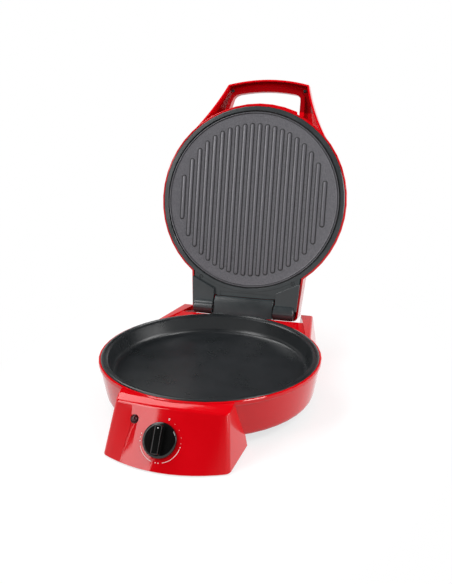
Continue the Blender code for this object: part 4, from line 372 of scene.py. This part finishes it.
def grey_coating():
    """Grey speckled non-stick coating, with painted shade along the foot of each rib and in the gap at the
    plate's edge, and a painted highlight on each rib.
    """
    made, tree, shader = new_material("grey_coated_metal")
    speckle = spread(tree, noise(tree, 900.0, detail=3.0, roughness=0.6), 0, 1, 0.35, 0.65)
    colour = blend_colours(tree, speckle, (0.075, 0.073, 0.082, 1), (0.150, 0.146, 0.161, 1))
    distance = rib_distance(tree)
    # Painted shade round each rib's foot and in the edge gap, and a painted highlight on the rib tops
    inner = spread(tree, distance, 1, RIB_SHADOW_SHARE, -RIB_SHADOW_WIDTH / 4, RIB_SHADOW_WIDTH / 4)
    reach = RIB_SHADOW_WIDTH * RIB_SHADOW_REACH
    outer = spread(tree, distance, RIB_SHADOW_SHARE, 1, RIB_SHADOW_WIDTH / 2, reach)
    rib_painted_highlight = spread(tree, distance, RIB_LIGHT_SHARE, 1, -RIB_SHADOW_WIDTH, 0)
    rim = PLATE_RADIUS - PLATE_SKIRT_WIDTH
    out = distance_out(tree, (1, 1, 0))
    gap = spread(tree, out, 1, GAP_SHADOW_SHARE, rim - PLATE_EDGE / 2, rim)
    light = calc(tree, "MULTIPLY", calc(tree, "MAXIMUM", inner, outer), rib_painted_highlight)
    light = calc(tree, "MULTIPLY", light, gap)
    shade(tree, shader, colour, light)
    tree.links.new(spread(tree, noise(tree, 40.0), 0.30, 0.40), shader.inputs["Roughness"])
    tree.links.new(bump(tree, noise(tree, 1400.0, detail=2.0), 0.00008), shader.inputs["Normal"])
    shader.inputs["Metallic"].default_value = COATING_METAL
    return made


def print_ink(name, first, second):
    """Printed ink between two near tones."""
    return sheen_of(name, (first, second), (0.40, 0.50))


def steel():
    """Plated steel of screws and pins."""
    return sheen_of("steel", ((0.50, 0.50, 0.50, 1), (0.62, 0.62, 0.61, 1)), (0.22, 0.34), metal=1.0)


def dark_steel():
    """Blackened steel of the screws that hold the frame and the grip."""
    return sheen_of(
        "dark_steel", ((0.040, 0.044, 0.047, 1), (0.060, 0.065, 0.068, 1)), (0.25, 0.4), metal=0.4
    )


def sheet_steel():
    """Dull galvanised sheet."""
    return sheen_of(
        "sheet_steel", ((0.40, 0.41, 0.42, 1), (0.56, 0.57, 0.58, 1)), (0.35, 0.5), metal=1.0
    )


def element_sheath():
    """Oxidised sheath of a heating element."""
    return sheen_of(
        "element_sheath", ((0.05, 0.045, 0.045, 1), (0.09, 0.08, 0.075, 1)), (0.45, 0.6), metal=0.8
    )


def rubber():
    """Black rubber of the feet."""
    return sheen_of("rubber", ((0.016, 0.016, 0.016, 1), (0.026, 0.026, 0.026, 1)), (0.7, 0.85))


def lens():
    """Dark red lens of the lamp."""
    return sheen_of("lens", ((0.040, 0.003, 0.005, 1), (0.055, 0.004, 0.006, 1)), (0.10, 0.14))


def white_ceramic():
    """White ceramic of the terminals."""
    return sheen_of("white_ceramic", ((0.72, 0.71, 0.68, 1), (0.80, 0.79, 0.76, 1)), (0.35, 0.45))


MAKERS = {
    "red_gloss_plastic": red_gloss,
    "black_plastic": black_plastic,
    "black_gloss_plastic": black_gloss,
    "dark_coated_metal": dark_coating,
    "grey_coated_metal": grey_coating,
    "steel": steel,
    "sheet_steel": sheet_steel,
    "element_sheath": element_sheath,
    "rubber": rubber,
    "lens": lens,
    "white_ceramic": white_ceramic,
}


def dress_frame():
    """Every CAD node takes crisp, fine edges and the material of its slot, but for a few of its own."""
    made = {slot: maker() for slot, maker in MAKERS.items()}
    special = dict.fromkeys(DARK_SCREWS, dark_steel())
    special["lid_shell"] = red_lid()
    for entry in frame["record"]["subparts"]:
        name = entry["node"]
        piece = frame["nodes"][name]
        piece.data.materials.clear()
        piece.data.materials.append(special.get(name, made[entry["material_slot"]]))
        soften(piece, SOFT_EDGES.get(name, 0))
    return made


def soften(piece, width):
    """Smooth faces between creases, with a small round on the creases where a width is given."""
    piece.data.shade_smooth()
    weld = piece.modifiers.new("weld", "WELD")
    weld.merge_threshold = WELD
    if width:
        flat = piece.modifiers.new("flat", "DECIMATE")
        flat.decimate_type = "DISSOLVE"
        flat.angle_limit = FLAT_ANGLE
        edge = piece.modifiers.new("edge", "BEVEL")
        edge.width = width
        edge.segments = 2
        edge.limit_method = "ANGLE"
        edge.angle_limit = EDGE_ANGLE
        edge.harden_normals = False
        normals = piece.modifiers.new("normals", "WEIGHTED_NORMAL")
        normals.weight = NORMALS_WEIGHT
        normals.keep_sharp = True
    else:
        crease = piece.modifiers.new("crease", "EDGE_SPLIT")
        crease.split_angle = CREASE_ANGLE


def lid_matrix():
    """Placement of the open lid: across, up the plate and out of its face, from the plate's middle."""
    across = Vector((1, 0, 0))
    up = Vector((0, math.sin(LID_LEAN), math.cos(LID_LEAN)))
    out = across.cross(up)
    place = HINGE + up * PLATE_RISE - out * PLATE_SETBACK
    return Matrix.Translation(place) @ Matrix((across, up, out)).transposed().to_4x4()


def dial_matrix():
    """Placement of the dial: across, up the face and out along the shaft, from the shaft's middle."""
    across = Vector((1, 0, 0))
    out = Vector((0, -math.cos(DIAL_LEAN), math.sin(DIAL_LEAN)))
    place = (SHAFT_LOW + SHAFT_HIGH) / 2
    return Matrix.Translation(place) @ Matrix((across, out.cross(across), out)).transposed().to_4x4()


def add_piece(name, build, material, body, placement=Matrix()):
    """A piece whose mesh is drawn by a function, with its material, on one body."""
    work = bmesh.new()
    build(work)
    mesh = bpy.data.meshes.new(name)
    work.to_mesh(mesh)
    work.free()
    mesh.materials.append(material)
    piece = bpy.data.objects.new(name, mesh)
    piece.matrix_world = placement
    bpy.context.scene.collection.objects.link(piece)
    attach(piece, body)
    return piece


def turn_profile(work, points, steps):
    """A surface turned round the local Z axis, closed where the profile meets the axis."""
    rings = []
    for radius, height in points:
        if radius == 0:
            rings.append([work.verts.new((0, 0, height))])
            continue
        angles = (number / steps * math.tau for number in range(steps))
        places = [(math.cos(angle) * radius, math.sin(angle) * radius, height) for angle in angles]
        rings.append([work.verts.new(place) for place in places])
    for low, high in zip(rings, rings[1:]):
        for i in range(steps):
            j = (i + 1) % steps
            corners = [low[i % len(low)], low[j % len(low)]]
            corners += [high[j % len(high)], high[i % len(high)]]
            work.faces.new(list(dict.fromkeys(corners)))
    bmesh.ops.recalc_face_normals(work, faces=work.faces)


def rib_outline(half, inset):
    """Outline of one rib with round ends, drawn in by an inset."""
    radius = RIB_WIDTH / 2 - inset
    straight = half - RIB_WIDTH / 2
    points = []
    for end in (1, -1):
        for step in range(RIB_END_STEPS + 1):
            angle = step / RIB_END_STEPS * math.pi
            points.append((math.cos(angle) * radius * end, (straight + math.sin(angle) * radius) * end))
    return points


def draw_upper_plate(work):
    """The ribbed plate: a turned disc with skirt, bead and groove at its edge, and round-ended ribs."""
    skirt = PLATE_RADIUS - PLATE_SKIRT_WIDTH
    bead = skirt - PLATE_BEAD_WIDTH
    slope = bead - PLATE_GROOVE_WIDTH
    depths = [
        (0, PLATE_BACK),
        (PLATE_RADIUS, PLATE_BACK),
        (PLATE_RADIUS, PLATE_GROOVE),
        (skirt, PLATE_GROOVE),
        (skirt, PLATE_BEAD_TOP + PLATE_EDGE),
        (skirt - PLATE_EDGE, PLATE_BEAD_TOP),
        (bead + PLATE_EDGE, PLATE_BEAD_TOP),
        (bead, PLATE_BEAD_TOP + PLATE_EDGE),
        (bead, PLATE_GROOVE),
        (slope, PLATE_GROOVE),
        (slope, PLATE_SLOPE_TOP + PLATE_EDGE),
        (slope - PLATE_EDGE, PLATE_SLOPE_TOP),
        (slope - PLATE_SLOPE_WIDTH, PLATE_FIELD),
        (0, PLATE_FIELD),
    ]
    turn_profile(work, [(radius, -depth) for radius, depth in depths], PLATE_STEPS)
    for number in range(RIB_COUNT):
        x = (number - (RIB_COUNT - 1) / 2) * RIB_PITCH
        half = math.sqrt(RIB_CIRCLE ** 2 - x ** 2)
        levels = [
            (0, PLATE_FIELD + RIB_EDGE),
            (0, RIB_TOP + RIB_EDGE),
            (RIB_EDGE * RIB_EDGE_ROUND, RIB_TOP + RIB_EDGE * RIB_EDGE_ROUND),
            (RIB_EDGE, RIB_TOP),
        ]
        loops = []
        for inset, depth in levels:
            loops.append([work.verts.new((x + px, py, -depth)) for px, py in rib_outline(half, inset)])
        for low, high in zip(loops, loops[1:]):
            for i in range(len(low)):
                j = (i + 1) % len(low)
                work.faces.new((low[i], low[j], high[j], high[i]))
        work.faces.new(loops[-1])


def add_upper_plate(material):
    """The ribbed plate, in place of the plain one of the CAD part."""
    plate = add_piece("ribbed_plate", draw_upper_plate, material, "lid", lid_matrix())
    plate.data.shade_smooth()
    crease = plate.modifiers.new("crease", "EDGE_SPLIT")
    crease.split_angle = CREASE_ANGLE
    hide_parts("upper_plate")


def skin_of(name):
    """A CAD node's surface, to lay prints on."""
    mesh = frame["nodes"][name].data
    return BVHTree.FromPolygons([v.co for v in mesh.vertices], [p.vertices for p in mesh.polygons])


def lay_print(work, skin, placement, points, faces):
    """One flat mark, laid on a surface along the dial's shaft."""
    out = placement.to_3x3() @ Vector((0, 0, 1))
    made = []
    for x, y in points:
        start = placement @ Vector((x, y, PRINT_REACH))
        made.append(work.verts.new(skin.ray_cast(start, -out)[0] + out * PRINT_LIFT))
    for face in faces:
        work.faces.new([made[i] for i in face])


def round_about(angle, radius):
    """A place on the dial, clockwise from its top in degrees."""
    turn = math.radians(angle)
    return math.sin(turn) * radius, math.cos(turn) * radius


def band(inner, outer, closed):
    """Points and faces of a strip between two lines of places."""
    count = len(inner)
    last = count if closed else count - 1
    faces = [(i, (i + 1) % count, count + (i + 1) % count, count + i) for i in range(last)]
    return inner + outer, faces


def dot(angle, out, radius):
    """A round mark on the dial."""
    x, y = round_about(angle, out)
    points = [(x, y)]
    for step in range(DOT_STEPS):
        px, py = round_about(step / DOT_STEPS * 360, radius)
        points.append((x + px, y + py))
    return points, [(0, i + 1, (i + 1) % DOT_STEPS + 1) for i in range(DOT_STEPS)]


def zero():
    """The figure nought beside the dial's top."""
    x, y = round_about(DIAL_ZERO, DIAL_RADIUS + ZERO_HALF_HEIGHT / 2)
    rings = []
    for shrink in (ZERO_LINE, 0):
        ring = []
        for step in range(DOT_STEPS * 2):
            px, py = round_about(step / (DOT_STEPS * 2) * 360, 1)
            ring.append((x + px * (ZERO_HALF_WIDTH - shrink), y + py * (ZERO_HALF_HEIGHT - shrink)))
        rings.append(ring)
    return band(rings[0], rings[1], True)


def arc(start, end):
    """A thin line round the dial."""
    angles = range(start, end + 1, ARC_STEP)
    inner = [round_about(angle, DIAL_RADIUS - DIAL_LINE / 2) for angle in angles]
    outer = [round_about(angle, DIAL_RADIUS + DIAL_LINE / 2) for angle in angles]
    return band(inner, outer, False)


def add_prints():
    """The dial's printed scale, and the dot on its bar."""
    white = print_ink("white_ink", (0.74, 0.74, 0.73, 1), (0.84, 0.84, 0.83, 1))
    faint = print_ink("faint_ink", (0.80, 0.30, 0.30, 1), (0.84, 0.36, 0.36, 1))
    placement = dial_matrix()
    face = skin_of("base_housing")
    knob = skin_of("knob")

    def draw_scale(work):
        marks = [arc(*ends) for ends in DIAL_ARCS]
        marks += [dot(angle, DIAL_RADIUS, DIAL_DOT) for angle in DIAL_DOTS]
        for points, faces in marks + [zero()]:
            lay_print(work, face, placement, points, faces)

    def draw_faint(work):
        for angle in DIAL_FAINT_DOTS:
            lay_print(work, face, placement, *dot(angle, DIAL_RADIUS, DIAL_FAINT_DOT))

    def draw_pointer(work):
        lay_print(work, knob, placement, *dot(0, POINTER_DOT_OUT, POINTER_DOT))

    add_piece("dial_scale", draw_scale, white, "base")
    add_piece("dial_faint_dots", draw_faint, faint, "base")
    add_piece("knob_pointer_dot", draw_pointer, white, "knob")


def camera_axes():
    """Directions to the camera's right, up and back."""
    back = Vector(
        (
            math.sin(CAMERA_AZIMUTH) * math.cos(CAMERA_ELEVATION),
            -math.cos(CAMERA_AZIMUTH) * math.cos(CAMERA_ELEVATION),
            math.sin(CAMERA_ELEVATION),
        )
    )
    right = Vector((math.cos(CAMERA_AZIMUTH), math.sin(CAMERA_AZIMUTH), 0))
    return right, back.cross(right), back


def add_camera():
    """The camera at the photograph's place and angle."""
    right, up, back = camera_axes()
    camera = bpy.data.objects.new("camera", bpy.data.cameras.new("camera"))
    camera.data.sensor_width = SENSOR
    camera.data.lens = FOCAL_PIXELS / IMAGE_LONG_SIDE * SENSOR
    turn = Matrix((right, up, back)).transposed().to_4x4()
    place = PAN_CENTRE + back * CAMERA_BACK + right * CAMERA_RIGHT + up * CAMERA_UP
    camera.matrix_world = Matrix.Translation(place) @ turn
    bpy.context.scene.collection.objects.link(camera)
    bpy.context.scene.camera = camera


def seen_directly(tree):
    """1 for what the camera, a reflection or clear glass sees, 0 for light on a surface."""
    path = add_node(tree, "ShaderNodeLightPath")
    seen = calc(tree, "MAXIMUM", path.outputs["Is Camera Ray"], path.outputs["Is Glossy Ray"])
    return calc(tree, "MAXIMUM", seen, path.outputs["Is Transmission Ray"])


def floor_material():
    """Pale matt floor with its shadows near the object, fading to plain white farther out."""
    made, tree, shader = new_material("floor")
    shader.inputs["Base Color"].default_value = (FLOOR_ALBEDO, FLOOR_ALBEDO, FLOOR_ALBEDO, 1)
    shader.inputs["Roughness"].default_value = FLOOR_ROUGHNESS
    shader.inputs["Specular IOR Level"].default_value = FLOOR_SHEEN
    shader.inputs["Emission Color"].default_value = (1, 1, 1, 1)
    glow = calc(tree, "MULTIPLY", seen_directly(tree), FLOOR_GLOW)
    tree.links.new(glow, shader.inputs["Emission Strength"])
    far = smooth_step(
        tree, distance_out(tree, (FLOOR_SIDE_SHARE, 1, 1)), 0, 1, FLOOR_FADE_START, FLOOR_FADE_END
    )
    path = add_node(tree, "ShaderNodeLightPath")
    bare = calc(tree, "MAXIMUM", far, path.outputs["Is Glossy Ray"])
    bare = calc(tree, "MULTIPLY", bare, seen_directly(tree))
    white = add_node(tree, "ShaderNodeEmission", {"Color": (1, 1, 1, 1), "Strength": 1.0})
    mixed = add_node(tree, "ShaderNodeMixShader")
    tree.links.new(bare, mixed.inputs[0])
    tree.links.new(shader.outputs[0], mixed.inputs[1])
    tree.links.new(white.outputs[0], mixed.inputs[2])
    tree.links.new(mixed.outputs[0], tree.nodes["Material Output"].inputs["Surface"])
    return made


def add_floor():
    """A pale floor that keeps the object's shadow."""
    mesh = bpy.data.meshes.new("floor")
    corners = [(-FLOOR_HALF, -FLOOR_HALF, 0), (FLOOR_HALF, -FLOOR_HALF, 0)]
    corners += [(FLOOR_HALF, FLOOR_HALF, 0), (-FLOOR_HALF, FLOOR_HALF, 0)]
    mesh.from_pydata(corners, [], [(0, 1, 2, 3)])
    mesh.materials.append(floor_material())
    floor = bpy.data.objects.new("floor", mesh)
    bpy.context.scene.collection.objects.link(floor)


def set_world():
    """White round the horizon, dim overhead, and an even light on every surface."""
    world = bpy.data.worlds.new("studio")
    bpy.context.scene.world = world
    world.use_nodes = True
    tree = world.node_tree
    tree.nodes.clear()
    direction = add_node(tree, "ShaderNodeTexCoord").outputs["Generated"]
    split = add_node(tree, "ShaderNodeSeparateXYZ")
    tree.links.new(direction, split.inputs[0])
    ceiling = smooth_step(tree, split.outputs["Z"], 1, CEILING_LIGHT, CEILING_START, CEILING_FULL)
    strength = add_node(tree, "ShaderNodeMix", data_type="FLOAT")
    tree.links.new(seen_directly(tree), strength.inputs[0])
    strength.inputs[2].default_value = ROOM_LIGHT
    tree.links.new(ceiling, strength.inputs[3])
    light = add_node(tree, "ShaderNodeBackground", {"Color": (1, 1, 1, 1)})
    tree.links.new(strength.outputs[0], light.inputs["Strength"])
    output = add_node(tree, "ShaderNodeOutputWorld")
    tree.links.new(light.outputs[0], output.inputs["Surface"])


def add_softbox(name, place, target, size, power, roll):
    """A rectangular area lamp turned to a target, and rolled about its own axis."""
    data = bpy.data.lights.new(name, "AREA")
    data.shape = "RECTANGLE"
    data.size, data.size_y = size
    data.energy = power
    lamp = bpy.data.objects.new(name, data)
    lamp.location = place
    lamp.rotation_mode = "QUATERNION"
    aim = (Vector(target) - Vector(place)).to_track_quat("-Z", "Y")
    lamp.rotation_quaternion = aim @ Quaternion((0, 0, 1), roll)
    bpy.context.scene.collection.objects.link(lamp)


def add_lights():
    """Soft studio light: large boxes upper left, a small bright one and a low wide one to the right."""
    for name, settings in LAMPS.items():
        add_softbox(name, *settings)


bpy.context.scene.view_settings.view_transform = "Standard"
slots = dress_frame()
add_upper_plate(slots["grey_coated_metal"])
add_prints()
add_camera()
add_floor()
set_world()
add_lights()
